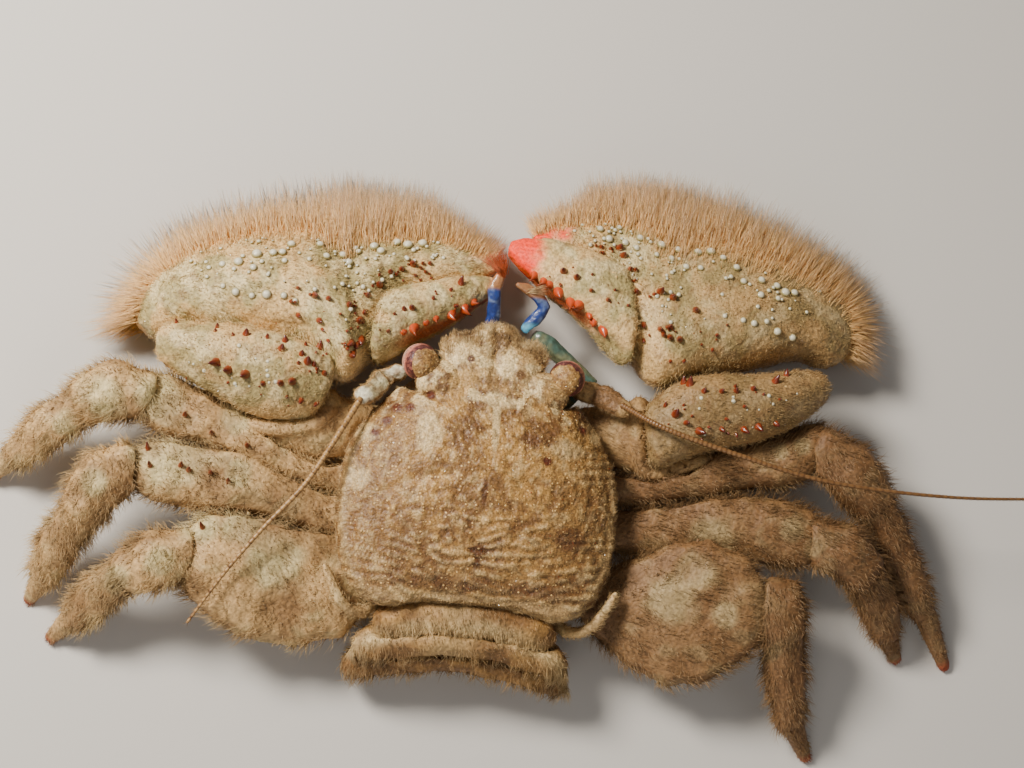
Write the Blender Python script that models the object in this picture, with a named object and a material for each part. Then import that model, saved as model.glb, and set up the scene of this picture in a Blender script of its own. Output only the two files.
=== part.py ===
"""A hairy porcelain crab, life size, resting on the floor with both claws folded across its face.

Metres, +Z up. The crab faces -Y, so its left side is at +X, and the floor is z = 0.
Every place below is written in millimetres with the head at -Y, and for a paired limb with
x counted outwards from the midline, so that one function serves both sides.
"""

import math
import random

import bmesh
import bpy
import numpy as np
from mathutils import Matrix, Vector

MM = 0.001
LEFT, RIGHT = 1, -1
SIDE_NAMES = {LEFT: "left", RIGHT: "right"}

# Driving sizes of the body, in millimetres.
SHIELD_HALF_WIDTH = 8.0
SHIELD_TOP = 8.0
SHIELD_FLOOR = 4.3
FRONT_FLOOR = 5.3
BELLY = 1.75
JOINT_GAP = 0.3
EYE_CENTRE = (4.2, -6.1, 6.4)
EYE_RADIUS = 1.05
FRINGE_REACH = {LEFT: 3.5, RIGHT: 3.1}
FRINGE_FLANGE = 0.62
FRINGE_LOCKS = 29
LOCK_HALF_WIDTH = 0.62
LOCK_HALF_DEPTH = 0.3
LOCK_START = 0.25
TUBERCLE_RADIUS = 0.4
TUBERCLE_HEIGHT = 0.42
TUBERCLE_ROOT = 0.3
TUBERCLE_TIP = 0.4
FEELER_RADIUS = 0.27

# Half outlines, from the front midline round the side to the rear midline.
SHIELD_EDGE = [
    (0.0, -8.95), (0.9, -8.65), (1.6, -8.1), (2.4, -8.1), (3.05, -7.5), (3.05, -6.8),
    (2.8, -5.9), (3.4, -4.95), (4.5, -4.65), (5.2, -4.75), (6.0, -3.9), (6.95, -2.7),
    (7.75, -0.8), (8.0, 2.0), (7.75, 4.7), (6.8, 6.6), (5.1, 7.6), (2.6, 7.25), (0.0, 7.2),
]
THORAX_EDGE = [
    (0.0, -4.9), (2.4, -4.8), (4.1, -4.4), (5.1, -3.3), (5.7, -1.2), (6.0, 1.4),
    (5.7, 4.2), (4.9, 6.2), (2.6, 6.9), (0.0, 7.0),
]
FACE_EDGE = [
    (0.0, -7.3), (1.6, -7.1), (2.9, -6.4), (4.3, -5.5), (4.9, -4.9), (3.9, -5.0),
    (2.0, -5.25), (0.0, -5.3),
]

# Each entry of the claw limbs and thighs is a front edge point, a rear edge point and half the depth,
# and the entries run outwards from the body. A palm and its finger run back towards the midline.
ARM_EDGES = {
    LEFT: [
        ((5.2, -3.7, 3.0), (5.0, -1.4, 2.7), 1.0),
        ((8.3, -4.2, 4.2), (8.9, -0.2, 3.2), 1.35),
        ((11.2, -3.9, 4.4), (11.6, -0.8, 3.2), 1.3),
        ((12.7, -3.4, 4.2), (12.8, -1.6, 3.4), 0.9),
    ],
    RIGHT: [
        ((5.5, -4.7, 3.0), (5.8, -2.2, 2.7), 1.0),
        ((8.4, -5.8, 4.2), (9.9, -1.3, 3.2), 1.35),
        ((10.9, -5.4, 4.4), (12.6, -1.9, 3.2), 1.3),
        ((13.1, -4.6, 4.2), (13.8, -2.7, 3.4), 0.9),
    ],
}
WRIST_EDGES = {
    LEFT: [
        ((8.8, -6.1, 5.6), (9.6, -2.7, 4.4), 1.5),
        ((11.0, -6.5, 6.3), (12.6, -2.4, 4.3), 1.8),
        ((14.5, -7.0, 6.0), (15.6, -3.6, 4.1), 1.75),
        ((18.7, -6.9, 4.8), (18.6, -5.1, 3.7), 1.15),
    ],
    RIGHT: [
        ((9.0, -5.2, 5.0), (9.9, -1.6, 4.2), 1.5),
        ((11.6, -7.0, 5.9), (12.8, -3.2, 4.3), 1.8),
        ((15.7, -7.7, 5.8), (16.5, -4.5, 4.2), 1.75),
        ((19.9, -8.6, 4.9), (19.9, -6.9, 3.8), 1.15),
    ],
}
PALM_EDGES = {
    LEFT: [
        ((20.4, -7.3, 1.8), (18.8, -6.1, 3.0), 1.25),
        ((18.4, -10.0, 0.9), (16.9, -7.2, 4.4), 2.1),
        ((15.7, -11.9, 0.7), (14.4, -7.3, 5.4), 2.6),
        ((11.9, -13.4, 0.6), (11.2, -7.0, 5.7), 2.8),
        ((9.0, -14.1, 0.7), (8.3, -5.0, 5.8), 2.7),
        ((7.2, -14.3, 0.9), (6.8, -7.4, 5.1), 2.35),
        ((5.3, -14.4, 1.3), (5.4, -9.7, 4.2), 1.7),
        ((2.9, -14.2, 1.9), (3.0, -11.1, 3.8), 1.25),
        ((-0.3, -13.2, 2.9), (-0.1, -12.2, 3.4), 0.45),
    ],
    RIGHT: [
        ((22.3, -10.6, 2.0), (20.6, -9.0, 2.7), 1.25),
        ((21.6, -13.4, 1.1), (18.4, -9.5, 3.9), 2.0),
        ((18.9, -15.2, 0.9), (15.2, -8.5, 4.7), 2.55),
        ((14.8, -16.7, 0.9), (12.4, -7.8, 5.0), 2.65),
        ((11.2, -17.2, 1.0), (9.6, -6.7, 5.0), 2.6),
        ((8.9, -17.2, 1.2), (7.9, -9.6, 4.5), 2.3),
        ((6.7, -16.8, 1.4), (6.5, -12.5, 3.8), 1.7),
        ((4.5, -16.0, 2.0), (4.2, -13.5, 3.6), 1.25),
        ((2.0, -15.0, 2.9), (2.2, -14.2, 3.3), 0.45),
    ],
}
FINGER_EDGES = {
    LEFT: [
        ((6.5, -10.0, 3.7), (7.0, -5.9, 5.6), 1.8),
        ((4.3, -10.7, 3.7), (5.1, -7.3, 5.5), 1.65),
        ((2.0, -11.6, 3.5), (2.3, -9.1, 4.9), 1.2),
        ((-0.1, -12.0, 3.3), (-0.3, -11.2, 3.7), 0.45),
    ],
    RIGHT: [
        ((7.7, -13.5, 3.5), (8.2, -7.1, 5.1), 1.8),
        ((5.5, -14.1, 3.5), (5.7, -9.6, 5.0), 1.65),
        ((3.2, -14.6, 3.4), (3.1, -11.3, 4.6), 1.2),
        ((0.8, -14.5, 3.4), (0.6, -13.4, 3.7), 0.5),
    ],
}
THIGH_EDGES = {
    (LEFT, 1): [
        ((5.5, -1.1, 2.7), (5.3, 0.5, 2.7), 0.8),
        ((9.0, -1.3, 3.1), (8.9, 1.5, 3.5), 1.05),
        ((14.1, -3.4, 3.4), (14.4, -0.0, 4.2), 1.25),
        ((18.9, -4.5, 3.7), (18.9, -0.6, 4.4), 1.15),
    ],
    (LEFT, 2): [
        ((5.2, 1.4, 2.6), (5.1, 2.8, 2.6), 0.8),
        ((8.6, 1.1, 3.3), (8.6, 3.8, 3.4), 1.05),
        ((13.0, -0.6, 4.3), (13.2, 3.3, 4.1), 1.3),
        ((19.0, -0.5, 4.6), (18.9, 3.3, 4.2), 1.15),
    ],
    (LEFT, 3): [
        ((4.9, 3.7, 2.5), (4.7, 5.5, 2.5), 0.8),
        ((8.3, 2.8, 3.3), (7.2, 9.7, 2.9), 1.2),
        ((12.6, 2.2, 4.3), (12.3, 10.1, 3.5), 1.5),
        ((15.8, 4.4, 4.6), (15.6, 8.1, 4.2), 1.15),
    ],
    (RIGHT, 1): [
        ((6.1, -1.4, 2.7), (6.3, 0.2, 2.7), 0.8),
        ((10.1, -2.9, 3.1), (10.2, 0.2, 3.5), 1.05),
        ((15.4, -4.5, 3.2), (14.9, -0.9, 4.1), 1.2),
        ((20.2, -6.0, 3.7), (19.7, -2.0, 4.4), 1.15),
    ],
    (RIGHT, 2): [
        ((6.4, 1.4, 2.6), (6.5, 3.0, 2.6), 0.8),
        ((10.3, 0.1, 3.4), (10.3, 3.2, 3.0), 1.0),
        ((15.2, -1.1, 4.3), (15.3, 2.9, 3.2), 1.25),
        ((19.8, -0.5, 4.6), (19.6, 3.4, 4.0), 1.15),
    ],
    (RIGHT, 3): [
        ((6.7, 4.7, 2.5), (6.8, 6.6, 2.5), 0.8),
        ((9.8, 3.1, 3.8), (10.1, 9.9, 2.9), 1.1),
        ((13.2, 1.6, 4.8), (14.0, 10.4, 3.5), 1.4),
        ((16.6, 3.4, 4.8), (17.0, 7.4, 4.2), 1.1),
    ],
}
SHIN_PATHS = {
    (LEFT, 1): (
        [(18.9, -2.6, 4.4), (20.8, -2.9, 4.6), (22.5, -2.1, 4.1)],
        [(22.4, -2.2, 4.1), (24.2, -0.6, 2.9), (25.9, 1.0, 1.7)],
        [(25.8, 0.9, 1.8), (26.6, 1.6, 0.9), (27.4, 2.3, 0.0)],
    ),
    (LEFT, 2): (
        [(19.1, 1.4, 4.5), (20.8, 2.1, 4.7), (21.8, 4.0, 4.1)],
        [(21.7, 3.9, 4.1), (22.8, 5.8, 2.8), (23.5, 7.4, 1.6)],
        [(23.4, 7.3, 1.6), (23.8, 8.1, 0.8), (24.2, 8.8, 0.0)],
    ),
    (LEFT, 3): (
        [(15.7, 5.9, 4.6), (17.6, 6.1, 4.8), (19.1, 7.1, 4.1)],
        [(19.0, 7.0, 4.1), (20.4, 8.4, 2.7), (21.6, 9.6, 1.6)],
        [(21.5, 9.5, 1.6), (22.1, 10.2, 0.8), (22.8, 10.8, 0.1)],
    ),
    (RIGHT, 1): (
        [(19.7, -3.8, 4.5), (21.8, -3.0, 4.7), (23.7, -1.1, 4.1)],
        [(23.6, -1.2, 4.1), (25.9, 1.8, 2.8), (28.0, 4.6, 1.6)],
        [(27.9, 4.5, 1.6), (29.1, 6.2, 0.8), (30.0, 7.7, 0.1)],
    ),
    (RIGHT, 2): (
        [(19.7, 1.6, 4.5), (21.6, 1.8, 4.7), (23.4, 2.9, 4.1)],
        [(23.3, 2.8, 4.1), (24.6, 4.5, 2.8), (25.7, 6.1, 1.6)],
        [(25.6, 6.0, 1.6), (26.3, 6.8, 0.8), (26.9, 7.5, 0.1)],
    ),
    (RIGHT, 3): (
        [(16.6, 5.4, 4.6), (18.1, 5.5, 4.7), (18.5, 7.1, 4.2)],
        [(18.5, 7.0, 4.2), (19.2, 9.5, 2.8), (20.1, 11.8, 1.6)],
        [(20.1, 11.7, 1.6), (20.9, 12.7, 0.8), (21.6, 13.8, 0.1)],
    ),
}
FEELER_PATH = {
    LEFT: [
        (7.3, -3.7, 6.2), (8.7, -0.8, 7.0), (10.0, 1.6, 7.0),
        (12.0, 4.2, 6.6), (13.8, 6.8, 6.0), (15.4, 9.5, 5.2),
    ],
    RIGHT: [
        (7.5, -5.0, 6.2), (9.9, -3.8, 7.1), (14.3, -2.7, 7.3),
        (19.9, -1.8, 6.9), (27.4, -1.8, 6.2), (34.6, -2.5, 5.4),
    ],
}

# Rows of tubercles: how many, their size against the sizes above, and the line they follow as places
# along the limb and angles round it. Angle 0 is the front edge, 90 the top.
PALM_ROWS = {
    LEFT: [
        (8, 1.0, [(0.24, 107), (0.33, 98), (0.41, 80), (0.67, 77), (0.82, 80)]),
        (5, 0.9, [(0.26, 116), (0.36, 104), (0.51, 80), (0.79, 92)]),
        (4, 0.9, [(0.23, 131), (0.28, 146), (0.33, 143), (0.37, 140)]),
        (3, 0.75, [(0.40, 134), (0.46, 116), (0.62, 128)]),
        (4, 0.75, [(0.67, 122), (0.73, 122), (0.78, 119), (0.85, 122)]),
        (4, 0.75, [(0.37, 155), (0.44, 146), (0.57, 140), (0.61, 137)]),
        (2, 0.7, [(0.53, 154), (0.58, 158)]),
    ],
    RIGHT: [
        (8, 1.0, [(0.80, 83), (0.65, 74), (0.47, 65), (0.39, 77), (0.30, 83), (0.24, 89)]),
        (6, 0.9, [(0.77, 104), (0.59, 83), (0.40, 86), (0.27, 101)]),
        (4, 0.9, [(0.37, 119), (0.31, 122), (0.25, 128), (0.17, 143)]),
        (4, 0.75, [(0.79, 122), (0.73, 110), (0.70, 119), (0.66, 116)]),
        (4, 0.75, [(0.65, 131), (0.59, 116), (0.51, 101), (0.43, 110)]),
        (2, 0.75, [(0.60, 146), (0.50, 119)]),
        (2, 0.75, [(0.53, 134), (0.46, 131)]),
    ],
}
WRIST_ROWS = {
    LEFT: [
        (4, 0.85, [(0.80, 8), (0.64, 23), (0.53, 29), (0.32, 17), (0.18, 2)]),
        (5, 1.0, [(0.67, 86), (0.56, 89), (0.45, 95), (0.37, 89), (0.27, 77)]),
        (4, 0.9, [(0.42, 41), (0.29, 41), (0.22, 47), (0.10, 62)]),
    ],
    RIGHT: [
        (6, 1.0, [(0.28, 5), (0.33, 35), (0.48, 47), (0.63, 35), (0.80, 8)]),
        (5, 1.0, [(0.16, 56), (0.30, 101), (0.50, 107), (0.67, 104)]),
    ],
}
FINGER_ROWS = {
    LEFT: [
        (4, 0.7, [(0.30, 110), (0.40, 110), (0.57, 98), (0.67, 86)]),
        (5, 0.7, [(0.34, 158), (0.54, 155), (0.79, 155)]),
    ],
    RIGHT: [
        (3, 0.7, [(0.60, 113), (0.28, 119)]),
        (6, 0.7, [(0.79, 160), (0.62, 155), (0.43, 161), (0.28, 168)]),
    ],
}
# Spines of the shield behind each eye, seen from above, and their size.
SHIELD_SPINES = [(4.0, -4.2, 0.75), (5.7, -3.3, 0.85), (6.25, -2.6, 0.7)]

COLOURS = {
    "shell": ((0.42, 0.33, 0.23), 0.75),
    "claw_shell": ((0.45, 0.40, 0.30), 0.7),
    "leg_shell": ((0.44, 0.35, 0.25), 0.8),
    "underside": ((0.55, 0.50, 0.40), 0.6),
    "eye": ((0.30, 0.12, 0.10), 0.15),
    "mouth": ((0.06, 0.13, 0.35), 0.4),
    "feeler": ((0.33, 0.24, 0.14), 0.5),
}


def clear_scene():
    for old in list(bpy.data.objects):
        bpy.data.objects.remove(old, do_unlink=True)


def unit(vector):
    return np.asarray(vector, float) / np.linalg.norm(vector)


def ramp(value, low, high):
    """0 below low, 1 above high, and a smooth rise between."""
    share = min(max((value - low) / (high - low), 0.0), 1.0)
    return share * share * (3 - 2 * share)


def smooth(values, t):
    """A Catmull-Rom curve through equally spaced values, read at t from 0 to 1."""
    last = len(values) - 1
    place = min(max(t, 0.0), 1.0) * last
    i = min(int(place), last - 1)
    u = place - i
    p1, p2 = values[i], values[i + 1]
    p0 = values[i - 1] if i > 0 else 2 * p1 - p2
    p3 = values[i + 2] if i + 2 <= last else 2 * p2 - p1
    return 0.5 * (
        2 * p1 + (p2 - p0) * u + (2 * p0 - 5 * p1 + 4 * p2 - p3) * u**2 + (3 * p1 - p0 - 3 * p2 + p3) * u**3
    )


class Limb:
    """A flattened segment between a front edge and a rear edge, with half its depth along the way."""

    def __init__(self, stations, square=2.3, ends=(0.12, 0.12), blunt=0.6):
        self.front = np.array([front for front, rear, depth in stations], float)
        self.rear = np.array([rear for front, rear, depth in stations], float)
        self.depth = np.array([depth for front, rear, depth in stations], float)
        self.square, self.ends, self.blunt = square, ends, blunt

    def centre(self, t):
        return (smooth(self.front, t) + smooth(self.rear, t)) / 2

    def axes(self, t):
        """The half width and half depth vectors. The first points to the front edge, the second upwards."""
        along = self.centre(min(t + 0.01, 1.0)) - self.centre(max(t - 0.01, 0.0))
        side = (smooth(self.front, t) - smooth(self.rear, t)) / 2
        up = unit(np.cross(side, along))
        return side, up * smooth(self.depth, t) * (1 if up[2] > 0 else -1)

    def rounding(self, t):
        """How far a ring near either end is drawn in, so that the segment has rounded, blunt ends."""
        factor = 1.0
        for distance, reach in ((t, self.ends[0]), (1 - t, self.ends[1])):
            if distance < reach:
                factor *= self.blunt + (1 - self.blunt) * math.sqrt(1 - (1 - distance / reach) ** 2)
        return factor

    def point(self, t, angle, grow=0.0):
        """A point of the skin. Angle 0 is the front edge, 90 degrees the top."""
        side, up = self.axes(t)
        c, s = math.cos(angle), math.sin(angle)
        radius = (abs(c) ** self.square + abs(s) ** self.square) ** (-1 / self.square)
        radius *= self.rounding(t)
        return self.centre(t) + (side + unit(side) * grow) * c * radius + (up + unit(up) * grow) * s * radius

    def normal(self, t, angle):
        """The outward direction of the skin at a place, towards which its tubercles point."""
        return unit(self.point(t, angle, 0.3) - self.point(t, angle, 0.0))


def rod(path, sizes, lift=0.0, **shape):
    """A limb about a centre line. Sizes are (half width, half depth), and lift tilts its front edge."""
    path = np.array(path, float)
    tilt = math.radians(lift)
    stations, front = [], np.array((0.2, -1.0, 0.0))
    for i, (width, depth) in enumerate(sizes):
        t = i / (len(sizes) - 1)
        along = smooth(path, min(t + 0.02, 1.0)) - smooth(path, max(t - 0.02, 0.0))
        flat = unit(np.cross(along, (0.0, 0.0, 1.0)))
        front = flat if flat @ front > 0 else -flat
        side = front * math.cos(tilt) + np.array((0.0, 0.0, math.sin(tilt)))
        stations.append((smooth(path, t) + side * width, smooth(path, t) - side * width, depth))
    return Limb(stations, **shape)


def placed(point, side):
    """A design point in millimetres as a world point in metres, on the left or the right of the body."""
    return Vector((point[0] * side * MM, point[1] * MM, point[2] * MM))


def closed_object(name, bm):
    bmesh.ops.recalc_face_normals(bm, faces=bm.faces)
    mesh = bpy.data.meshes.new(name)
    bm.to_mesh(mesh)
    bm.free()
    obj = bpy.data.objects.new(name, mesh)
    bpy.context.scene.collection.objects.link(obj)
    return obj


def rings_object(name, rings, side=LEFT):
    """Lofts equal rings of points and closes both ends. A ring of one point is a pole."""
    bm = bmesh.new()
    rows = [[bm.verts.new(placed(p, side)) for p in ring] for ring in rings]
    for row, after in zip(rows, rows[1:]):
        count = max(len(row), len(after))
        for i in range(count):
            corners = [row[i % len(row)], row[(i + 1) % len(row)]]
            corners += [after[(i + 1) % len(after)], after[i % len(after)]]
            bm.faces.new(list(dict.fromkeys(corners)))
    for row in (rows[0], rows[-1]):
        if len(row) > 1:
            bm.faces.new(row)
    return closed_object(name, bm)


def limb_object(name, limb, side=LEFT, rings=9, sides=12, floor=None):
    """The solid of a limb. Points lower than floor are brought up to it, which makes a flat to rest on."""
    low, high = limb.ends
    stations = [0.0, low * 0.35, *np.linspace(low, 1 - high, rings), 1 - high * 0.35, 1.0]
    loft = []
    for t in stations:
        ring = [limb.point(t, 2 * math.pi * k / sides) for k in range(sides)]
        if floor is not None:
            ring = [(p[0], p[1], max(p[2], floor)) for p in ring]
        loft.append(ring)
    return rings_object(name, loft, side)


def cone_object(foot, direction, size, side):
    """A tubercle: a blunt five-sided cone that starts under the skin at foot and points along direction."""
    radius, height = TUBERCLE_RADIUS * size * MM, TUBERCLE_HEIGHT * size * MM
    root = TUBERCLE_ROOT * MM
    bm = bmesh.new()
    bmesh.ops.create_cone(
        bm, cap_ends=True, segments=5, radius1=radius, radius2=radius * TUBERCLE_TIP, depth=root + height
    )
    ahead = Vector((direction[0] * side, direction[1], direction[2]))
    middle = placed(foot, side) + ahead * (height - root) / 2
    bm.transform(Matrix.Translation(middle) @ ahead.to_track_quat("Z", "Y").to_matrix().to_4x4())
    return closed_object("cone", bm)


def tubercles(limb, rows, side):
    """The tubercles of a limb, a little uneven in place and size."""
    chance = random.Random(15 + side)
    made = []
    for count, size, line in rows:
        for k in range(count):
            t, degrees = smooth(np.array(line), k / (count - 1) + chance.uniform(-0.2, 0.2) / count)
            angle = math.radians(degrees + chance.uniform(-3, 3))
            size_here = size * chance.uniform(0.88, 1.12)
            made.append(cone_object(limb.point(t, angle), limb.normal(t, angle), size_here, side))
    return made


def lock_object(path, side):
    """One lock of the fringe: a flat blade with a diamond section that narrows to its tip."""
    shares = (1.0, 0.92, 0.68, 0.1)
    sizes = [(LOCK_HALF_WIDTH * share, LOCK_HALF_DEPTH * share**0.5) for share in shares]
    blade = rod(path, sizes, square=2.0, ends=(0.0, 0.0))
    rings = [[blade.point(k / 3, turn * math.pi / 2) for turn in range(4)] for k in range(3)]
    return rings_object("lock", [*rings, [blade.centre(1.0)]], side)


def combine(body, pieces, operation):
    """One Boolean of the body with all the pieces, which are removed. The largest closed surface is kept."""
    group = bpy.data.collections.new("pieces")
    bpy.context.scene.collection.children.link(group)
    for piece in pieces:
        group.objects.link(piece)
        bpy.context.scene.collection.objects.unlink(piece)
    change = body.modifiers.new("change", "BOOLEAN")
    change.operation = operation
    change.operand_type = "COLLECTION"
    change.collection = group
    change.solver = "MANIFOLD"
    graph = bpy.context.evaluated_depsgraph_get()
    graph.update()
    result = bpy.data.meshes.new_from_object(body.evaluated_get(graph))
    body.modifiers.clear()
    body.data = result
    for piece in pieces:
        bpy.data.objects.remove(piece, do_unlink=True)
    bpy.data.collections.remove(group)
    keep_largest(body.data)
    return body


def keep_largest(mesh):
    """Leaves out small closed surfaces, also those that touch the main one along an edge."""
    bm = bmesh.new()
    bm.from_mesh(mesh)
    bmesh.ops.triangulate(bm, faces=bm.faces)
    bmesh.ops.remove_doubles(bm, verts=bm.verts, dist=0.01 * MM)
    bmesh.ops.dissolve_degenerate(bm, edges=bm.edges, dist=0.005 * MM)
    left, islands = set(bm.faces), []
    while left:
        front = [left.pop()]
        island = set(front)
        while front:
            edges = {edge for face in front for edge in face.edges if len(edge.link_faces) == 2}
            near = {face for edge in edges for face in edge.link_faces} & left
            left -= near
            island |= near
            front = near
        islands.append(island)
    islands.sort(key=len, reverse=True)
    bmesh.ops.delete(bm, geom=[face for island in islands[1:] for face in island], context="FACES")
    bm.to_mesh(mesh)
    bm.free()


def grown_copy(obj, distance=JOINT_GAP):
    """A copy of a solid with its skin moved outwards, to cut the room that a neighbour leaves around it."""
    copy = bpy.data.objects.new("grown", obj.data.copy())
    bpy.context.scene.collection.objects.link(copy)
    bm = bmesh.new()
    bm.from_mesh(copy.data)
    bm.normal_update()
    moves = [vert.normal * distance * MM * min(vert.calc_shell_factor(), 1.5) for vert in bm.verts]
    for vert, move in zip(bm.verts, moves):
        vert.co += move
    bm.to_mesh(copy.data)
    bm.free()
    return copy


def carve(body, neighbours):
    """Cuts the body back so that it clears its neighbours by the joint gap."""
    return combine(body, [grown_copy(neighbour) for neighbour in neighbours], "DIFFERENCE")


def whole_outline(half):
    """The closed outline of a half given from the front midline to the rear midline."""
    return np.array(half + [(-x, y) for x, y in reversed(half[1:-1])], float)


def outline_point(outline, s):
    """A point on a closed outline, s from 0 to 1 from the front midline round by the left side."""
    count = len(outline)
    closed = np.concatenate([outline[-2:], outline, outline[:3]])
    return smooth(closed, (2 + (s % 1.0) * count) / (len(closed) - 1))


def plate_object(name, half_outline, rows, heart, steps, ease=None):
    """A closed lens from rows of (share of the outline, height function of the plan point), top pole first.

    Where ease gives a smooth outline, the rows near the heart follow it instead of the detailed edge.
    """
    outline = whole_outline(half_outline)
    heart = np.array(heart)
    edge = [outline_point(outline, k / steps) - heart for k in range(steps)]
    loft = []
    for share, height in rows:
        ring = []
        for arm in edge if share else [np.zeros(2)]:
            if ease and share:
                arm = arm * (1 + (ease(arm) / np.linalg.norm(arm) - 1) * (1 - ramp(share, 0.62, 1.0)))
            x, y = heart + share * arm
            ring.append((x, y, height(x, y)))
        loft.append(ring)
    return rings_object(name, loft)


def shield_ease(arm):
    """Radius of a plain oval in the direction of arm."""
    x, y = unit(arm)
    half_length = 7.6 if y < 0 else 7.2
    return (abs(x / SHIELD_HALF_WIDTH) ** 2.5 + abs(y / half_length) ** 2.5) ** (-1 / 2.5)


def shield_underside(y):
    return FRONT_FLOOR + (SHIELD_FLOOR - FRONT_FLOOR) * ramp(y, -5.6, -3.6)


def shield_rim(y):
    """Height of the shield's edge: high at the front, lowest along the sides."""
    return 5.0 + 1.1 * (1 - ramp(y, -8.0, -2.5)) + 0.3 * ramp(y, 4.0, 7.5)


def shield_dome(share):
    return (1 - share**2.3) ** 0.6


def make_shield():
    rows = [
        (share, lambda x, y, d=shield_dome(share): shield_rim(y) + (SHIELD_TOP - shield_rim(y)) * d)
        for share in (0.0, 0.25, 0.47, 0.66, 0.8, 0.9, 0.965, 1.0)
    ]
    rows += [
        (0.99, lambda x, y: shield_rim(y) - 0.4),
        (0.93, lambda x, y: shield_underside(y)),
        (0.0, lambda x, y: shield_underside(y)),
    ]
    shield = plate_object("carapace", SHIELD_EDGE, rows, (0.0, 0.3), 48, shield_ease)
    spines = []
    for side in (LEFT, RIGHT):
        for x, y, size in SHIELD_SPINES:
            found, place, normal, face = shield.ray_cast(placed((x, y, 20.0), side), (0.0, 0.0, -1.0))
            foot = np.array((place.x * side, place.y, place.z)) / MM
            spines.append(cone_object(foot, unit((0.25, -0.5, 1.0)), size, side))
    return combine(shield, spines, "UNION")


def make_trunk():
    top = SHIELD_FLOOR - JOINT_GAP
    thorax_rows = [
        (0.0, lambda x, y: top), (0.93, lambda x, y: top), (1.0, lambda x, y: top - 0.35),
        (1.0, lambda x, y: BELLY + 0.75), (0.9, lambda x, y: BELLY + 0.2), (0.72, lambda x, y: BELLY),
        (0.0, lambda x, y: BELLY),
    ]
    face_rows = [
        (share, lambda x, y, d=drop: FRONT_FLOOR - JOINT_GAP - d - 0.03 * x * x)
        for share, drop in ((0.0, 0.15), (0.85, 0.25), (1.0, 0.5))
    ]
    face_rows += [(1.0, lambda x, y: 3.6), (0.8, lambda x, y: 3.2), (0.0, lambda x, y: 3.2)]
    thorax = plate_object("thorax", THORAX_EDGE, thorax_rows, (0.0, 1.0), 28)
    face = plate_object("face", FACE_EDGE, face_rows, (0.0, -6.1), 22)
    return [thorax, face]


def make_abdomen(shield, thorax):
    """The tail plates: three arch over the rear of the body, and the rest fold forwards under it."""
    made = []
    # Half length across the body, centre y and z, droop of the ends, half width, half depth, lift.
    plates = [
        (5.2, 8.0, 4.75, 0.6, 0.75, 0.85, -15),
        (6.1, 8.95, 4.35, 1.1, 0.85, 0.95, -32),
        (6.5, 9.75, 3.3, 1.3, 0.85, 1.0, -58),
        (5.4, 9.6, 1.15, 0.15, 0.9, 0.55, -20),
        (5.0, 7.1, 0.95, 0.0, 1.45, 0.42, 0),
        (4.4, 3.9, 0.95, 0.0, 1.4, 0.42, 0),
    ]
    for number, (half, y, z, droop, width, depth, lift) in enumerate(plates, 1):
        arch = [(half * k, y + 0.75 * droop * k * k, z - droop * k * k) for k in np.linspace(-1, 1, 9)]
        limb = rod(arch, [(width, depth)] * 9, -lift, ends=(0.14, 0.14), blunt=0.45)
        plate = limb_object(f"abdomen_{number}", limb, rings=7, sides=8)
        made.append(carve(plate, [shield, thorax, *made[-1:]]) if number < 4 else plate)
    fan = Limb([((3.3, 2.2, 0.95), (-3.3, 2.2, 0.95), 0.42), ((3.4, 0.8, 0.95), (-3.4, 0.8, 0.95), 0.42),
                ((1.5, -1.0, 0.95), (-1.5, -1.0, 0.95), 0.4)], ends=(0.2, 0.25))
    made.append(limb_object("tail_fan", fan, rings=5, sides=12))
    return made


def eye_object(side):
    """A round eye that sits in its orbit on a short stalk."""
    name = f"eye_{SIDE_NAMES[side]}"
    bm = bmesh.new()
    middle = Matrix.Translation(placed(EYE_CENTRE, side))
    squash = Matrix.Diagonal((1.0, 1.0, 0.95, 1.0))
    bmesh.ops.create_uvsphere(bm, u_segments=12, v_segments=7, radius=EYE_RADIUS * MM, matrix=middle @ squash)
    ball = closed_object(name, bm)
    stalk = rod([(4.2, -6.05, 6.2), (3.6, -6.0, 4.3)], [(0.62, 0.62), (0.5, 0.5)], ends=(0.1, 0.1))
    return combine(ball, [limb_object("stalk", stalk, side, rings=2, sides=8)], "UNION")


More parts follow.
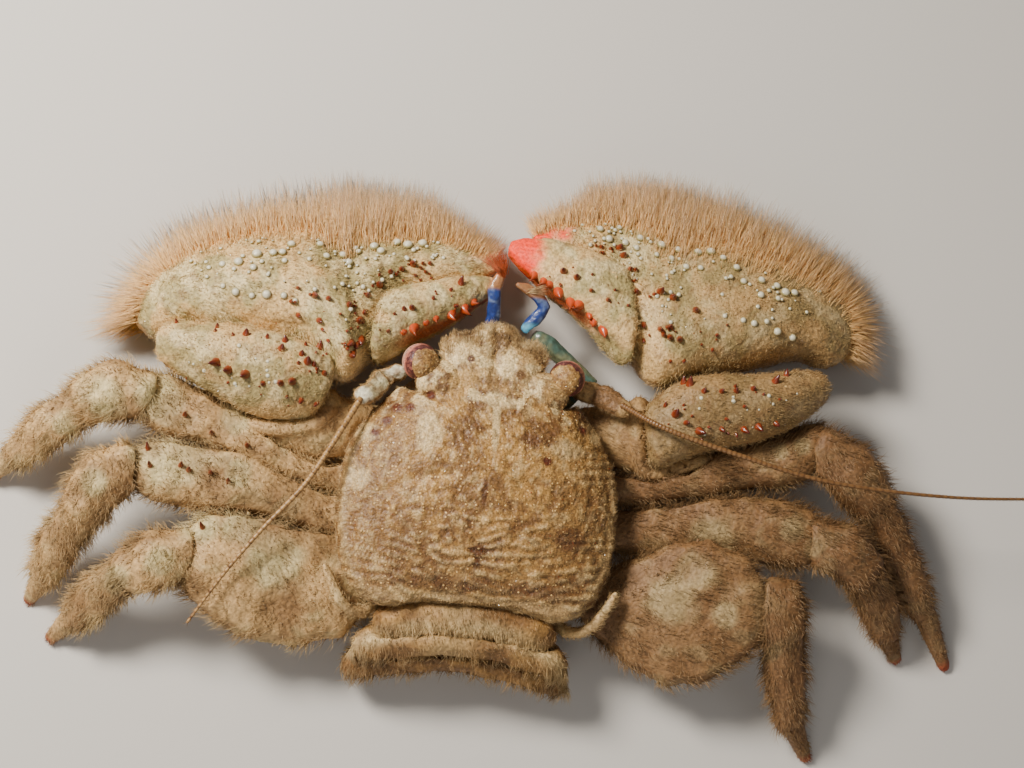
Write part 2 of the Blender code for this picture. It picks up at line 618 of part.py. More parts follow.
def make_head(side, shield, thorax, face, finger):
    """Eye, feeler, its base, the small inner feeler and the mouth limb of one side."""
    word = SIDE_NAMES[side]
    base_path = {
        LEFT: [(4.9, -5.8, 4.6), (6.2, -4.9, 5.4), (7.4, -3.55, 5.9)],
        RIGHT: [(4.9, -5.9, 4.6), (6.6, -5.5, 5.4), (8.1, -4.6, 5.9)],
    }[side]
    base = rod(base_path, [(0.6, 0.55), (0.78, 0.65), (0.55, 0.5)])
    shares = (1.1, 1.0, 1.0, 0.95, 0.9, 0.45)
    whip = rod(FEELER_PATH[side], [(FEELER_RADIUS * s,) * 2 for s in shares], square=2.0, ends=(0.01, 0.01))
    inner_path = [(1.0, -7.3, 4.5), (1.6, -8.0, 4.4), (1.8, -8.1, 3.6)]
    inner = rod(inner_path, [(0.4, 0.4), (0.34, 0.34), (0.2, 0.2)])
    plate_path = {
        LEFT: [(2.1, -4.95, 2.35), (2.4, -6.4, 2.6), (0.7, -8.4, 3.2)],
        RIGHT: [(3.7, -4.95, 2.3), (5.8, -5.6, 2.6), (6.2, -6.6, 3.0), (4.5, -7.9, 3.4), (2.5, -9.0, 3.6)],
    }[side]
    palp_path = {
        LEFT: [(0.2, -8.7, 3.5), (0.0, -9.4, 4.2), (0.1, -10.4, 4.8), (0.2, -11.3, 5.2), (-0.3, -12.3, 5.4)],
        RIGHT: [(1.9, -9.0, 3.8), (2.5, -9.8, 4.2), (2.9, -10.5, 4.5), (2.2, -11.2, 4.8), (1.0, -11.5, 5.1)],
    }[side]
    plate_sizes = {
        LEFT: [(0.9, 0.4), (1.1, 0.42), (0.6, 0.4)],
        RIGHT: [(0.6, 0.5), (0.6, 0.5), (0.55, 0.7), (0.55, 0.7), (0.55, 0.7)],
    }[side]
    mouth_plate = rod(plate_path, plate_sizes, 10)
    palp = rod(palp_path, [(0.4, 0.36), (0.46, 0.4), (0.42, 0.38), (0.45, 0.36), (0.2, 0.18)])
    eye = carve(eye_object(side), [face])
    base = limb_object(f"feeler_base_{word}", base, side, rings=3, sides=8)
    plate = limb_object(f"mouth_plate_{word}", mouth_plate, side, rings=3, sides=8)
    plate = carve(plate, [thorax, face])
    return [
        eye,
        carve(limb_object(f"feeler_{word}", whip, side, rings=18, sides=6), [base]),
        carve(base, [eye, face, finger, shield]),
        carve(limb_object(f"inner_feeler_{word}", inner, side, rings=3, sides=6), [face, finger]),
        plate,
        carve(limb_object(f"mouth_palp_{word}", palp, side, rings=5, sides=8), [plate, finger]),
    ]


def palm_limb(side):
    return Limb(PALM_EDGES[side], ends=(0.06, 0.04))


def fringe_point(palm, t, share, side_of_body):
    """A place in the fringe, from the palm's front edge at share 0 to the tips of the hairs at 1.

    The hairs stand square to the edge, turn towards the wrist and the finger at its two ends, and
    are shorter at the wrist and along the finger.
    """
    side, up = palm.axes(t)
    ahead = unit(palm.centre(t + 0.01) - palm.centre(t - 0.01))
    turn = math.radians(25 * ramp(t, 0.85, 1.0) - 65 * (1 - ramp(t, 0.0, 0.16)))
    way = unit(side) * math.cos(turn) + ahead * math.sin(turn)
    shorter = (1 - 0.55 * ramp(t, 0.78, 1.02)) * (0.78 + 0.22 * ramp(t, 0.0, 0.16))
    x, y, z = palm.point(t, 0.0) + way * FRINGE_REACH[side_of_body] * shorter * share
    return np.array((x, y, max(z, 0.75)))


def fringe_objects(side):
    """The claw's fringe: one dense flange, and the locks that grow out of it to the tips of the hairs."""
    palm = palm_limb(side)
    stations = []
    for t in np.linspace(0.01, 0.97, 10):
        stations.append((fringe_point(palm, t, FRINGE_FLANGE, side), palm.point(t, 0.0, -0.4), 0.5))
    made = [limb_object("flange", Limb(stations, ends=(0.05, 0.05)), side, rings=10, sides=6, floor=0.25)]
    chance = random.Random(23 + side)
    for k in range(FRINGE_LOCKS):
        t = 0.01 + 0.96 * (k + 0.5) / FRINGE_LOCKS
        lean = chance.uniform(-0.02, 0.02)
        tip = chance.uniform(0.92, 1.05)
        lift = chance.uniform(-0.1, 0.25)
        path = []
        for u, bend in ((0.0, 0.0), (0.35, 0.7), (0.7, 1.0), (1.0, 0.4)):
            place = fringe_point(palm, t + lean * u * u, LOCK_START + (tip - LOCK_START) * u, side)
            path.append(place + np.array((0.0, 0.0, lift * bend)))
        made.append(lock_object(path, side))
    return made


def make_claw(side, nearby):
    """Arm, wrist, palm and finger of one claw. The palm rests its lower side on the floor."""
    word = SIDE_NAMES[side]
    wrist_limb, finger_limb = Limb(WRIST_EDGES[side], ends=(0.1, 0.1)), Limb(FINGER_EDGES[side])
    arm = limb_object(f"arm_{word}", Limb(ARM_EDGES[side]), side, rings=4, sides=10)
    wrist = limb_object(f"wrist_{word}", wrist_limb, side, rings=6, sides=12)
    palm = limb_object(f"palm_{word}", palm_limb(side), side, rings=12, sides=14, floor=0.0)
    finger = limb_object(f"finger_{word}", finger_limb, side, rings=5, sides=10)
    wrist = combine(wrist, tubercles(wrist_limb, WRIST_ROWS[side], side), "UNION")
    finger = combine(finger, tubercles(finger_limb, FINGER_ROWS[side], side), "UNION")
    palm = combine(palm, fringe_objects(side) + tubercles(palm_limb(side), PALM_ROWS[side], side), "UNION")
    palm = carve(palm, [finger, wrist])
    return [carve(arm, [wrist, *nearby]), wrist, palm, finger]


def make_leg(side, number, nearby):
    """A walking leg in four pieces, out to the tips of its coat and cut clear of what is nearby.

    The last piece ends in a small flat on the floor.
    """
    word = f"{SIDE_NAMES[side]}_{number}"
    knee_path, shin_path, foot_path = SHIN_PATHS[side, number]
    thigh = limb_object(f"thigh_{word}", Limb(THIGH_EDGES[side, number]), side, rings=5, sides=10)
    thigh = carve(thigh, nearby)
    knee = rod(knee_path, [(1.45, 1.1), (1.85, 1.3), (1.45, 1.1)], 10)
    shin = rod(shin_path, [(1.25, 1.0), (1.4, 1.1), (0.95, 0.8)], 10)
    foot = rod(foot_path, [(0.85, 0.7), (0.68, 0.6), (0.42, 0.4)])
    knee = limb_object(f"knee_{word}", knee, side, rings=3, sides=8)
    shin = limb_object(f"shin_{word}", shin, side, rings=3, sides=8)
    foot = limb_object(f"foot_{word}", foot, side, rings=2, sides=8, floor=0.0)
    knee = carve(knee, [thigh, *nearby])
    shin = carve(shin, [knee, *nearby])
    return [thigh, knee, shin, carve(foot, [shin])]


def make_small_leg(side, nearby):
    """The thin fifth leg, folded along the rear corner of the shield."""
    path = [(4.4, 6.6, 2.9), (5.9, 8.0, 3.9), (7.2, 7.5, 4.8), (8.35, 5.5, 5.1)]
    sizes = [(0.45, 0.45), (0.42, 0.4), (0.38, 0.36), (0.28, 0.28)]
    leg = limb_object(f"small_leg_{SIDE_NAMES[side]}", rod(path, sizes), side, rings=5, sides=8)
    return carve(leg, nearby)


def material(name):
    colour, roughness = COLOURS[name]
    made = bpy.data.materials.new(name)
    made.use_nodes = True
    shader = made.node_tree.nodes["Principled BSDF"]
    shader.inputs["Base Color"].default_value = (*colour, 1.0)
    shader.inputs["Roughness"].default_value = roughness
    shader.inputs["Metallic"].default_value = 0.0
    return made


def finish_group(objects, colour, group):
    paint = material(colour)
    for obj in objects:
        obj.data.materials.clear()
        obj.data.materials.append(paint)
        obj.data.shade_smooth()
        obj.data.set_sharp_from_angle(angle=math.radians(40))
        bpy.context.scene.collection.objects.unlink(obj)
        group.objects.link(obj)
    return objects


def centre_on_floor(objects):
    """Moves the whole crab so that the middle of its box, at floor level, is the origin."""
    corners = np.array([v.co for obj in objects for v in obj.data.vertices])
    middle = (corners.min(0) + corners.max(0)) / 2
    shift = Matrix.Translation((-middle[0], -middle[1], -corners[:, 2].min()))
    for obj in objects:
        obj.data.transform(shift)


def main():
    clear_scene()
    group = bpy.data.collections.new("porcelain_crab")
    bpy.context.scene.collection.children.link(group)
    shield = make_shield()
    thorax, face = make_trunk()
    abdomen = make_abdomen(shield, thorax)
    crab = finish_group([shield], "shell", group)
    crab += finish_group([thorax, face, *abdomen], "underside", group)
    for side in (LEFT, RIGHT):
        claw = make_claw(side, [thorax, shield])
        eye, *head = make_head(side, shield, thorax, face, claw[3])
        legs = []
        for number in (1, 2, 3):
            ahead = legs[-4:] if legs else claw[:3]
            legs += make_leg(side, number, [thorax, shield, *ahead])
        legs.append(make_small_leg(side, [thorax, abdomen[0], abdomen[1], legs[-4]]))
        crab += finish_group([eye], "eye", group)
        crab += finish_group(head[:3], "feeler", group)
        crab += finish_group(head[3:], "mouth", group)
        crab += finish_group(claw, "claw_shell", group)
        crab += finish_group(legs, "leg_shell", group)
    centre_on_floor(crab)


main()
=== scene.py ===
"""The looks of a hairy porcelain crab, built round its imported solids.

Shapes are worked out in millimetres in the crab's own frame: x grows to its left, its head points to
-y and the floor is z = 0. mesh_object moves them into the frame of the solids, which the carapace
node gives. For a paired limb x is counted outwards, so that one function serves both sides.
"""

import itertools
import math

import bpy
import numpy as np
from mathutils import Matrix, Vector
from mathutils.kdtree import KDTree


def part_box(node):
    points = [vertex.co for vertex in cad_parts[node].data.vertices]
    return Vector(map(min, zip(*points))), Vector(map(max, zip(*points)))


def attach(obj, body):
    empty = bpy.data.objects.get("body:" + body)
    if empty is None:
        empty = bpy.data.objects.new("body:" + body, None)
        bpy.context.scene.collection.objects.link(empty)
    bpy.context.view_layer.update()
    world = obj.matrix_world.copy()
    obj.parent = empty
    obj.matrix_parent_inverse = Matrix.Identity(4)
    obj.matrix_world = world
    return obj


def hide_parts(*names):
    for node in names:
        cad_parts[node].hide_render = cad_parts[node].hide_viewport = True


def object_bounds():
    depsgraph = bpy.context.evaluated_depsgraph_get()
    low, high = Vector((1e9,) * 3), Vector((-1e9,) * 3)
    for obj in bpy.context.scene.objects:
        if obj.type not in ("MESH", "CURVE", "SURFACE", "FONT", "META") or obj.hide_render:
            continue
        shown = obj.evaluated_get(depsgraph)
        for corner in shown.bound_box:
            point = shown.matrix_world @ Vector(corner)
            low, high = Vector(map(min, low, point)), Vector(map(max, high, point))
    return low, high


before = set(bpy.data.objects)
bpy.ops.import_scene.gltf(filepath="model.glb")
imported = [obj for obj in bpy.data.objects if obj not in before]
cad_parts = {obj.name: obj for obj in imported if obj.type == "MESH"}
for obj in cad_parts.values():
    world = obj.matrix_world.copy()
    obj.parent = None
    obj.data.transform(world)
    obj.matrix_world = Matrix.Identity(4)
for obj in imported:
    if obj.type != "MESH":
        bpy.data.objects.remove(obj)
cad_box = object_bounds()

# Sizes are in millimetres until mesh_object turns them into metres.
MM = 0.001
LEFT, RIGHT = 1, -1
WORDS = {LEFT: "left", RIGHT: "right"}
DENSITY = 1.0

# The shield, as in the solids: half outline from the front midline round the side to the rear.
SHIELD_HALF_WIDTH = 8.0
SHIELD_TOP = 7.9
SHIELD_FLOOR = 4.3
FRONT_FLOOR = 5.3
SHIELD_HEART = (0.0, 0.3)
SHIELD_EDGE = [
    (0.0, -8.95), (0.9, -8.65), (1.6, -8.1), (2.4, -8.1), (3.05, -7.5), (3.05, -6.8),
    (2.8, -5.9), (3.4, -4.95), (4.5, -4.65), (5.2, -4.75), (6.0, -3.9), (6.95, -2.7),
    (7.75, -0.8), (8.0, 2.0), (7.75, 4.7), (6.8, 6.6), (5.1, 7.6), (2.6, 7.25), (0.0, 7.2),
]

# Lobes of the shield, the same on both sides: place, radius and height. Then the way between ridges.
SHIELD_LOBES = [
    (1.5, -6.6, 0.95, 0.16), (3.4, -2.2, 1.5, 0.12),
    (0.0, -1.0, 1.6, 0.1), (5.4, 2.2, 2.2, 0.1),
]
RIDGE_STEP = 0.52

# Marks on the shield: place, the two radii and how strong each is. Then small dark dots.
PALE_MARKS = [
    (3.5, -2.1, 0.75, 1.25, 0.75), (-4.4, -1.9, 1.2, 0.6, 0.5), (6.8, -1.9, 0.6, 0.7, 0.9),
    (7.0, 0.7, 0.65, 0.7, 0.9), (-6.3, -3.0, 0.45, 0.45, 0.8), (1.9, -6.9, 0.8, 0.7, 0.8),
    (-0.7, -6.6, 0.6, 0.7, 0.7), (-0.3, -4.3, 1.2, 0.5, 0.5), (-0.2, -3.2, 0.25, 2.3, 0.75),
    (0.5, -7.3, 0.4, 0.5, 0.7),
]
BROWN_MARKS = [
    (0.1, 4.2, 0.8, 0.32, 1.0), (0.1, 4.5, 0.28, 0.8, 1.0), (0.14, 0.9, 0.2, 0.9, 0.95),
    (-3.0, -2.9, 1.0, 0.6, 0.75), (1.8, -2.3, 0.8, 0.9, 0.6), (-5.4, -4.2, 1.0, 0.6, 0.7),
    (-5.0, 3.0, 1.0, 0.8, 0.85), (5.2, -3.4, 0.9, 0.5, 0.6), (3.6, 0.0, 0.9, 0.5, 0.5),
    (4.4, 4.4, 1.4, 0.8, 0.35), (-1.6, 1.6, 0.9, 0.5, 0.4), (-4.6, 0.6, 0.8, 0.9, 0.45),
    (1.45, -6.5, 0.25, 0.25, 1.0), (-2.6, -2.3, 1.2, 0.5, 0.8), (1.2, -2.7, 0.9, 0.5, 0.6),
    (-0.3, -5.4, 1.3, 0.35, 0.5),
]
DOT_RADIUS = 0.32
DOTS = [
    (3.5, -4.2), (5.3, -3.4), (4.6, -3.4), (5.8, -2.6),
    (6.4, -1.9), (-5.4, -3.3), (-7.3, -2.4), (-3.3, -1.1),
]

# Eyes: place and radius of the ball, the angle from its axis where the cap ends and the points round
# a ring, then the stalk between the eye and the face, and the lobe between the eye and the front.
EYE_CENTRE = (4.2, -6.1, 6.4)
EYE_RADIUS = 1.05
CAP_EDGE = 66.0
BALL_COLUMNS = 56
EYE_NECK = [((4.2, -6.6, 4.2), (4.2, -5.6, 4.2), 0.55), ((4.6, -6.7, 6.0), (4.4, -5.5, 6.0), 0.6)]
EYE_LOBE = (2.9, -5.1, 6.45)
EYE_LOBE_SIZE = (1.5, 1.2, 0.75)

# Feelers: path, length of a ring, rows of points in it and points round it, every how many rings a
# dark band comes, and the length of a bristle.
FEELER_PATH = {
    LEFT: [
        (7.3, -3.7, 6.2), (8.7, -0.8, 7.0), (10.0, 1.6, 7.0),
        (12.0, 4.2, 6.6), (13.8, 6.8, 6.0), (15.4, 9.5, 5.2),
    ],
    RIGHT: [
        (7.5, -5.0, 6.2), (9.9, -3.8, 7.1), (14.3, -2.7, 7.3),
        (19.9, -1.8, 6.9), (27.4, -1.8, 6.2), (34.6, -2.5, 5.4),
    ],
}
FEELER_RING = 0.33
FEELER_ROWS = 5
FEELER_SIDES = 8
BAND_STEP = 5
BRISTLE = 0.24

# Segments of the claws. Each entry is a front edge point, a rear edge point and half the depth.
WRIST_EDGES = {
    LEFT: [
        ((8.8, -6.1, 5.6), (9.6, -2.7, 4.4), 1.5),
        ((11.0, -6.5, 6.3), (12.6, -2.4, 4.3), 1.8),
        ((14.5, -7.0, 6.0), (15.6, -3.6, 4.1), 1.75),
        ((18.7, -6.9, 4.8), (18.6, -5.1, 3.7), 1.15),
    ],
    RIGHT: [
        ((9.0, -5.2, 5.0), (9.9, -1.6, 4.2), 1.5),
        ((11.6, -7.0, 5.9), (12.8, -3.2, 4.3), 1.8),
        ((15.7, -7.7, 5.8), (16.5, -4.5, 4.2), 1.75),
        ((19.9, -8.6, 4.9), (19.9, -6.9, 3.8), 1.15),
    ],
}
PALM_EDGES = {
    LEFT: [
        ((20.4, -7.3, 1.8), (18.8, -6.1, 3.0), 1.25),
        ((18.4, -10.0, 0.9), (16.9, -7.2, 4.4), 2.1),
        ((15.7, -11.9, 0.7), (14.4, -7.3, 5.4), 2.6),
        ((11.9, -13.4, 0.6), (11.2, -7.0, 5.7), 2.8),
        ((9.0, -14.1, 0.7), (8.3, -5.0, 5.8), 2.7),
        ((7.2, -14.3, 0.9), (6.8, -7.4, 5.1), 2.35),
        ((5.3, -14.4, 1.3), (5.4, -9.7, 4.2), 1.7),
        ((2.9, -14.2, 1.9), (3.0, -11.1, 3.8), 1.25),
        ((-0.3, -13.2, 2.9), (-0.1, -12.2, 3.4), 0.45),
    ],
    RIGHT: [
        ((22.3, -10.6, 2.0), (20.6, -9.0, 2.7), 1.25),
        ((21.6, -13.4, 1.1), (18.4, -9.5, 3.9), 2.0),
        ((18.9, -15.2, 0.9), (15.2, -8.5, 4.7), 2.55),
        ((14.8, -16.7, 0.9), (12.4, -7.8, 5.0), 2.65),
        ((11.2, -17.2, 1.0), (9.6, -6.7, 5.0), 2.6),
        ((8.9, -17.2, 1.2), (7.9, -9.6, 4.5), 2.3),
        ((6.7, -16.8, 1.4), (6.5, -12.5, 3.8), 1.7),
        ((4.5, -16.0, 2.0), (4.2, -13.5, 3.6), 1.25),
        ((2.0, -15.0, 2.9), (2.2, -14.2, 3.3), 0.45),
    ],
}
FINGER_EDGES = {
    LEFT: [
        ((6.5, -10.0, 3.7), (7.0, -5.9, 5.6), 1.8),
        ((4.3, -10.7, 3.7), (5.1, -7.3, 5.5), 1.65),
        ((2.0, -11.6, 3.5), (2.3, -9.1, 4.9), 1.2),
        ((-0.1, -12.0, 3.3), (-0.3, -11.2, 3.7), 0.45),
    ],
    RIGHT: [
        ((7.7, -13.5, 3.5), (8.2, -7.1, 5.1), 1.8),
        ((5.5, -14.1, 3.5), (5.7, -9.6, 5.0), 1.65),
        ((3.2, -14.6, 3.4), (3.1, -11.3, 4.6), 1.2),
        ((0.8, -14.5, 3.4), (0.6, -13.4, 3.7), 0.5),
    ],
}

# Rows of tubercles: kind, how many, radius, and the line they follow as places along the limb and
# angles round it. Angle 0 is the front edge, 90 the top.
PALM_ROWS = {
    LEFT: [
        ("pearl", 13, 0.26, [(0.24, 107), (0.33, 98), (0.41, 80), (0.67, 77), (0.82, 80)]),
        ("pearl", 11, 0.22, [(0.26, 116), (0.36, 104), (0.51, 80), (0.79, 92)]),
        ("pearl", 6, 0.24, [(0.23, 131), (0.28, 146), (0.33, 143), (0.37, 140)]),
        ("red", 4, 0.21, [(0.40, 134), (0.46, 116), (0.62, 128)]),
        ("red", 5, 0.18, [(0.67, 122), (0.73, 122), (0.78, 119), (0.85, 122)]),
        ("red", 5, 0.19, [(0.37, 155), (0.44, 146), (0.57, 140), (0.61, 137)]),
        ("red", 3, 0.19, [(0.53, 154), (0.58, 158)]),
    ],
    RIGHT: [
        ("pearl", 13, 0.26, [(0.80, 83), (0.65, 74), (0.47, 65), (0.39, 77), (0.30, 83), (0.24, 89)]),
        ("pearl", 11, 0.22, [(0.77, 104), (0.59, 83), (0.40, 86), (0.27, 101)]),
        ("pearl", 6, 0.24, [(0.37, 119), (0.31, 122), (0.25, 128), (0.17, 143)]),
        ("red", 5, 0.19, [(0.79, 122), (0.73, 110), (0.70, 119), (0.66, 116)]),
        ("red", 4, 0.22, [(0.65, 131), (0.59, 116), (0.51, 101), (0.43, 110)]),
        ("red", 3, 0.19, [(0.60, 146), (0.50, 119)]),
        ("red", 3, 0.20, [(0.53, 134), (0.46, 131)]),
    ],
}
WRIST_ROWS = {
    LEFT: [
        ("red", 7, 0.19, [(0.93, 5), (0.64, 23), (0.53, 29), (0.32, 17), (0.18, 2)]),
        ("red", 6, 0.24, [(0.67, 86), (0.56, 89), (0.45, 95), (0.37, 89), (0.27, 77)]),
        ("red", 5, 0.21, [(0.42, 41), (0.29, 41), (0.22, 47), (0.10, 62)]),
        ("red", 2, 0.18, [(0.19, 107), (0.07, 110)]),
    ],
    RIGHT: [
        ("red", 8, 0.22, [(0.28, 5), (0.33, 35), (0.48, 47), (0.63, 35), (0.80, 8)]),
        ("red", 7, 0.22, [(0.16, 56), (0.30, 101), (0.50, 107), (0.67, 104)]),
    ],
}
FINGER_ROWS = {
    LEFT: [
        ("red", 5, 0.18, [(0.30, 110), (0.40, 110), (0.57, 98), (0.67, 86)]),
        ("tooth", 7, 0.31, [(0.30, 158), (0.54, 155), (0.79, 155)]),
    ],
    RIGHT: [
        ("red", 4, 0.20, [(0.60, 113), (0.28, 119)]),
        ("tooth", 9, 0.32, [(0.79, 160), (0.62, 155), (0.43, 161), (0.26, 168)]),
    ],
}

# Scattered tubercles: kind, how many, radius, and from where to where along the limb and round it.
SMALL_TUBERCLES = {
    "palm": [("pearl", 80, 0.13, (0.18, 0.88), (72, 128)), ("red", 40, 0.1, (0.35, 0.85), (112, 158))],
    "wrist": [("red", 16, 0.1, (0.1, 0.75), (20, 120)), ("pearl", 20, 0.13, (0.3, 0.8), (50, 110))],
    "finger": [("red", 10, 0.1, (0.1, 0.7), (90, 150))],
}

# Where along the palm and the finger the red of their tips starts.
PALM_GLOW = {LEFT: 0.93, RIGHT: 0.86}
FINGER_GLOW = {LEFT: 0.9, RIGHT: 0.72}

# Legs: number of hairs and inset of each part, then the voxel, rounds and reach of their skins.
LEG_PARTS = {"thigh": (3100, 0.06), "knee": (1300, 0.08), "shin": (1400, 0.08), "foot": (350, 0.06)}
LEG_SKIN = (0.2, 6, 0.4)
FOOT_SKIN = (0.1, 3, 0.2)

# Pale patches of the legs as places and radii, and the places of their spines.
LEG_PATCHES = {
    (LEFT, 1): [(18.2, -2.8, 1.5), (14.0, -2.0, 1.0), (21.2, -2.3, 1.2), (23.2, -0.8, 0.8)],
    (LEFT, 2): [(17.0, 0.7, 2.0), (13.5, 1.2, 0.9), (18.8, 0.4, 1.0), (21.2, 2.4, 0.9)],
    (LEFT, 3): [(15.4, 4.2, 1.1), (13.0, 4.0, 1.2), (17.2, 6.3, 0.9), (10.9, 5.7, 1.7), (19.4, 7.6, 0.8)],
    (RIGHT, 1): [(-18.7, -4.0, 0.6), (-17.4, -3.6, 0.6)],
    (RIGHT, 2): [(-13.7, 2.0, 1.6), (-18.3, 1.0, 0.8), (-19.7, 1.9, 0.6)],
    (RIGHT, 3): [(-11.5, 5.6, 1.5), (-12.8, 4.0, 1.3), (-14.6, 6.2, 0.9), (-17.9, 8.0, 0.6)],
}
LEG_SPINES = {
    (LEFT, 1): [(16.7, -1.7), (15.4, -0.9), (13.2, -0.4)],
    (LEFT, 2): [(18.7, 0.1), (18.5, 1.0), (16.7, 0.95), (16.1, 1.4), (15.0, 1.4), (14.1, 1.75)],
    (LEFT, 3): [(15.4, 4.2)],
}

# Hidden pieces, with the voxel of each one's skin.
TRUNK = {"thorax": 0.25, "face": 0.14, "tail_fan": 0.14}

# Colours, as linear light.
FELT = (0.5, 0.31, 0.125)
CLAW_FELT = (0.66, 0.43, 0.17)
FELT_DARK = (0.19, 0.092, 0.03)
GREEN_SHELL = (0.32, 0.265, 0.105)
PALE_SHELL = (0.66, 0.52, 0.26)
PEARL = (0.7, 0.65, 0.49)
RED_BROWN = (0.25, 0.04, 0.008)
RED_TIP = (0.09, 0.01, 0.004)
VERMILION = (0.92, 0.038, 0.002)
ORANGE = (0.6, 0.09, 0.012)
FRINGE_ROOT = (0.98, 0.6, 0.22)
FRINGE_TIP = (0.66, 0.45, 0.32)
SAND = (0.385, 0.205, 0.055)
BROWN = (0.095, 0.034, 0.008)
CREAM = (0.74, 0.55, 0.27)
WHITISH = (0.6, 0.43, 0.2)
UNDERSIDE = (0.56, 0.4, 0.23)
SALMON = (0.62, 0.22, 0.15)
PLUM = (0.07, 0.013, 0.014)
COBALT = (0.02, 0.045, 0.2)
TEAL = (0.06, 0.115, 0.09)
TOOTH = (0.50, 0.06, 0.010)
HORN_BROWN = (0.34, 0.15, 0.06)
CLEAR_HORN = (0.40, 0.23, 0.085)
# GLINT is a golden tone; in the shell's bright cells and on the grains it is a painted glint.
GLINT = (0.76, 0.49, 0.18)
PALE_BLUE = (0.16, 0.22, 0.36)
CYAN = (0.10, 0.33, 0.48)

# Tubercles: material, lean, width and height in radii, and the colours of the foot and the tip.
TUBERCLES = {
    "pearl": ("pearl", 0.3, 1.0, 0.7, GREEN_SHELL, PEARL),
    "red": ("stud", 1.0, 1.0, 2.3, RED_BROWN, RED_TIP),
    "tooth": ("stud", 2.2, 0.8, 2.4, TOOTH, RED_BROWN),
}

# Outline of each kind of tubercle from its foot, as shares of its height and radius.
STUD_SHAPES = {
    "pearl": [(-0.5, 1.05), (0.15, 0.98), (0.5, 0.78), (0.82, 0.38)],
    "red": [(-0.5, 1.15), (0.1, 0.95), (0.5, 0.66), (0.85, 0.28)],
    "tooth": [(-0.5, 1.35), (0.05, 1.1), (0.35, 0.68), (0.7, 0.3)],
    "grain": [(-0.3, 1.0)],
}

# Combing hairs of the mouth palps: how many, lowest and highest angle, colour and share of length.
FAN = {LEFT: (150, -0.25, 1.1, ORANGE, 1.0), RIGHT: (40, -1.9, -1.1, WHITISH, 0.7)}

# Fringe of the claws: reach, then for the plush and for the long hairs how many, the least and the
# greatest share of the reach, the points on the way, the radius, the tip's tint, how far they
# gather in locks and how far they stray.
FRINGE_REACH = {LEFT: 3.5, RIGHT: 3.1}
FRINGE_HAIRS = [
    (10800, 0.42, 0.92, (0.5, 1.0), 0.026, 0.1, 0.08, 0.15),
    (4800, 0.8, 1.32, (0.35, 0.7, 1.0), 0.014, 0.85, 0.25, 0.10),
]

# Other hairs: how many, length, radius, rise above the skin in degrees, and seed.
HAIRS = {
    "shield": (5200, 0.2, 0.015, 40, 1),
    "shield_front": (2300, 0.46, 0.013, 30, 2),
    "shield_rim": (2400, 0.34, 0.017, 15, 3),
    "palm": (6600, 0.22, 0.021, 50, 4),
    "palm_under": (1300, 0.32, 0.022, 45, 5),
    "palm_seam": (1100, 0.5, 0.022, 65, 8),
    "wrist": (3700, 0.28, 0.021, 50, 6),
    "finger": (1900, 0.2, 0.02, 50, 7),
    "finger_seam": (500, 0.45, 0.022, 55, 9),
    "arm": (1500, 0.4, 0.022, 50, 50),
    "small_leg": (600, 0.32, 0.018, 50, 51),
    "tail": (1700, 0.5, 0.02, 40, 52),
    "tail_edge": (700, 1.0, 0.02, 20, 58),
    "eye_lobe": (500, 0.22, 0.017, 50, 96),
    "feeler_base": (900, 0.2, 0.016, 50, 57),
}

# Curl of a hair, hairs drawn to one tuft, the least height above the floor, the step from point to
# point in the coat map, and the sheen and the size of the locks in the hair materials.
CURL = 0.25
HAIRS_IN_TUFT = 12
FLOOR_CLEARANCE = 0.03
PATCH_STEP = 0.001
SHEEN_TINT = (1.0, 0.78, 0.48, 1.0)
TUFT_SIZE = 0.35

# Camera: seen from 80 degrees above the horizon behind the crab, a little to its left, 110 mm away.
CAMERA_ELEVATION = 80.0
CAMERA_SIDE = 9.0
CAMERA_ROLL = 5.0
CAMERA_DISTANCE = 110.0
TARGET = (0.0, 0.0, 7.6)
TARGET_PIXEL = (488.0, 475.0)
PIXEL_SIZE = 0.0552
PICTURE = (1024, 768)
SENSOR = 36.0

# Lights: place in metres, size, power and colour.
LIGHTS = {
    "key": ((0.095, -0.05, 0.10), 0.045, 0.42, (1.0, 0.94, 0.85)),
    "fill": ((-0.20, 0.05, 0.16), 0.20, 0.04, (0.95, 0.96, 1.0)),
    "back": ((0.04, 0.22, 0.14), 0.16, 0.16, (1.0, 0.97, 0.93)),
}
SKY = (1.0, 0.97, 0.93, 1.0)
SKY_STRENGTH = 0.16
FLOOR_COLOUR = (0.62, 0.59, 0.55, 1.0)
FLOOR_DEPTH = -0.00002


def unit(vectors):
    return vectors / np.maximum(np.linalg.norm(vectors, axis=-1, keepdims=True), 1e-9)


def ramp(value, low, high):
    """0 below low, 1 above high, and a smooth rise between."""
    share = np.clip((value - low) / (high - low), 0.0, 1.0)
    return share * share * (3 - 2 * share)


def mix(first, second, share):
    """Colours blended by a share for each point."""
    share = np.asarray(share)[..., None]
    return np.asarray(first) * (1 - share) + np.asarray(second) * share


def curve(values, t):
    """A Catmull-Rom curve through equally spaced values, read at each t from 0 to 1."""
    values, t = np.asarray(values, float), np.asarray(t, float)
    padded = np.concatenate([2 * values[:1] - values[1:2], values, 2 * values[-1:] - values[-2:-1]])
    place = np.clip(t, 0.0, 1.0) * (len(values) - 1)
    i = np.minimum(place.astype(int), len(values) - 2)
    u = place - i
    if values.ndim > 1:
        u = u[..., None]
    p0, p1, p2, p3 = (padded[i + k] for k in range(4))
    return 0.5 * (
        2 * p1 + (p2 - p0) * u + (2 * p0 - 5 * p1 + 4 * p2 - p3) * u**2
        + (3 * p1 - p0 - 3 * p2 + p3) * u**3
    )


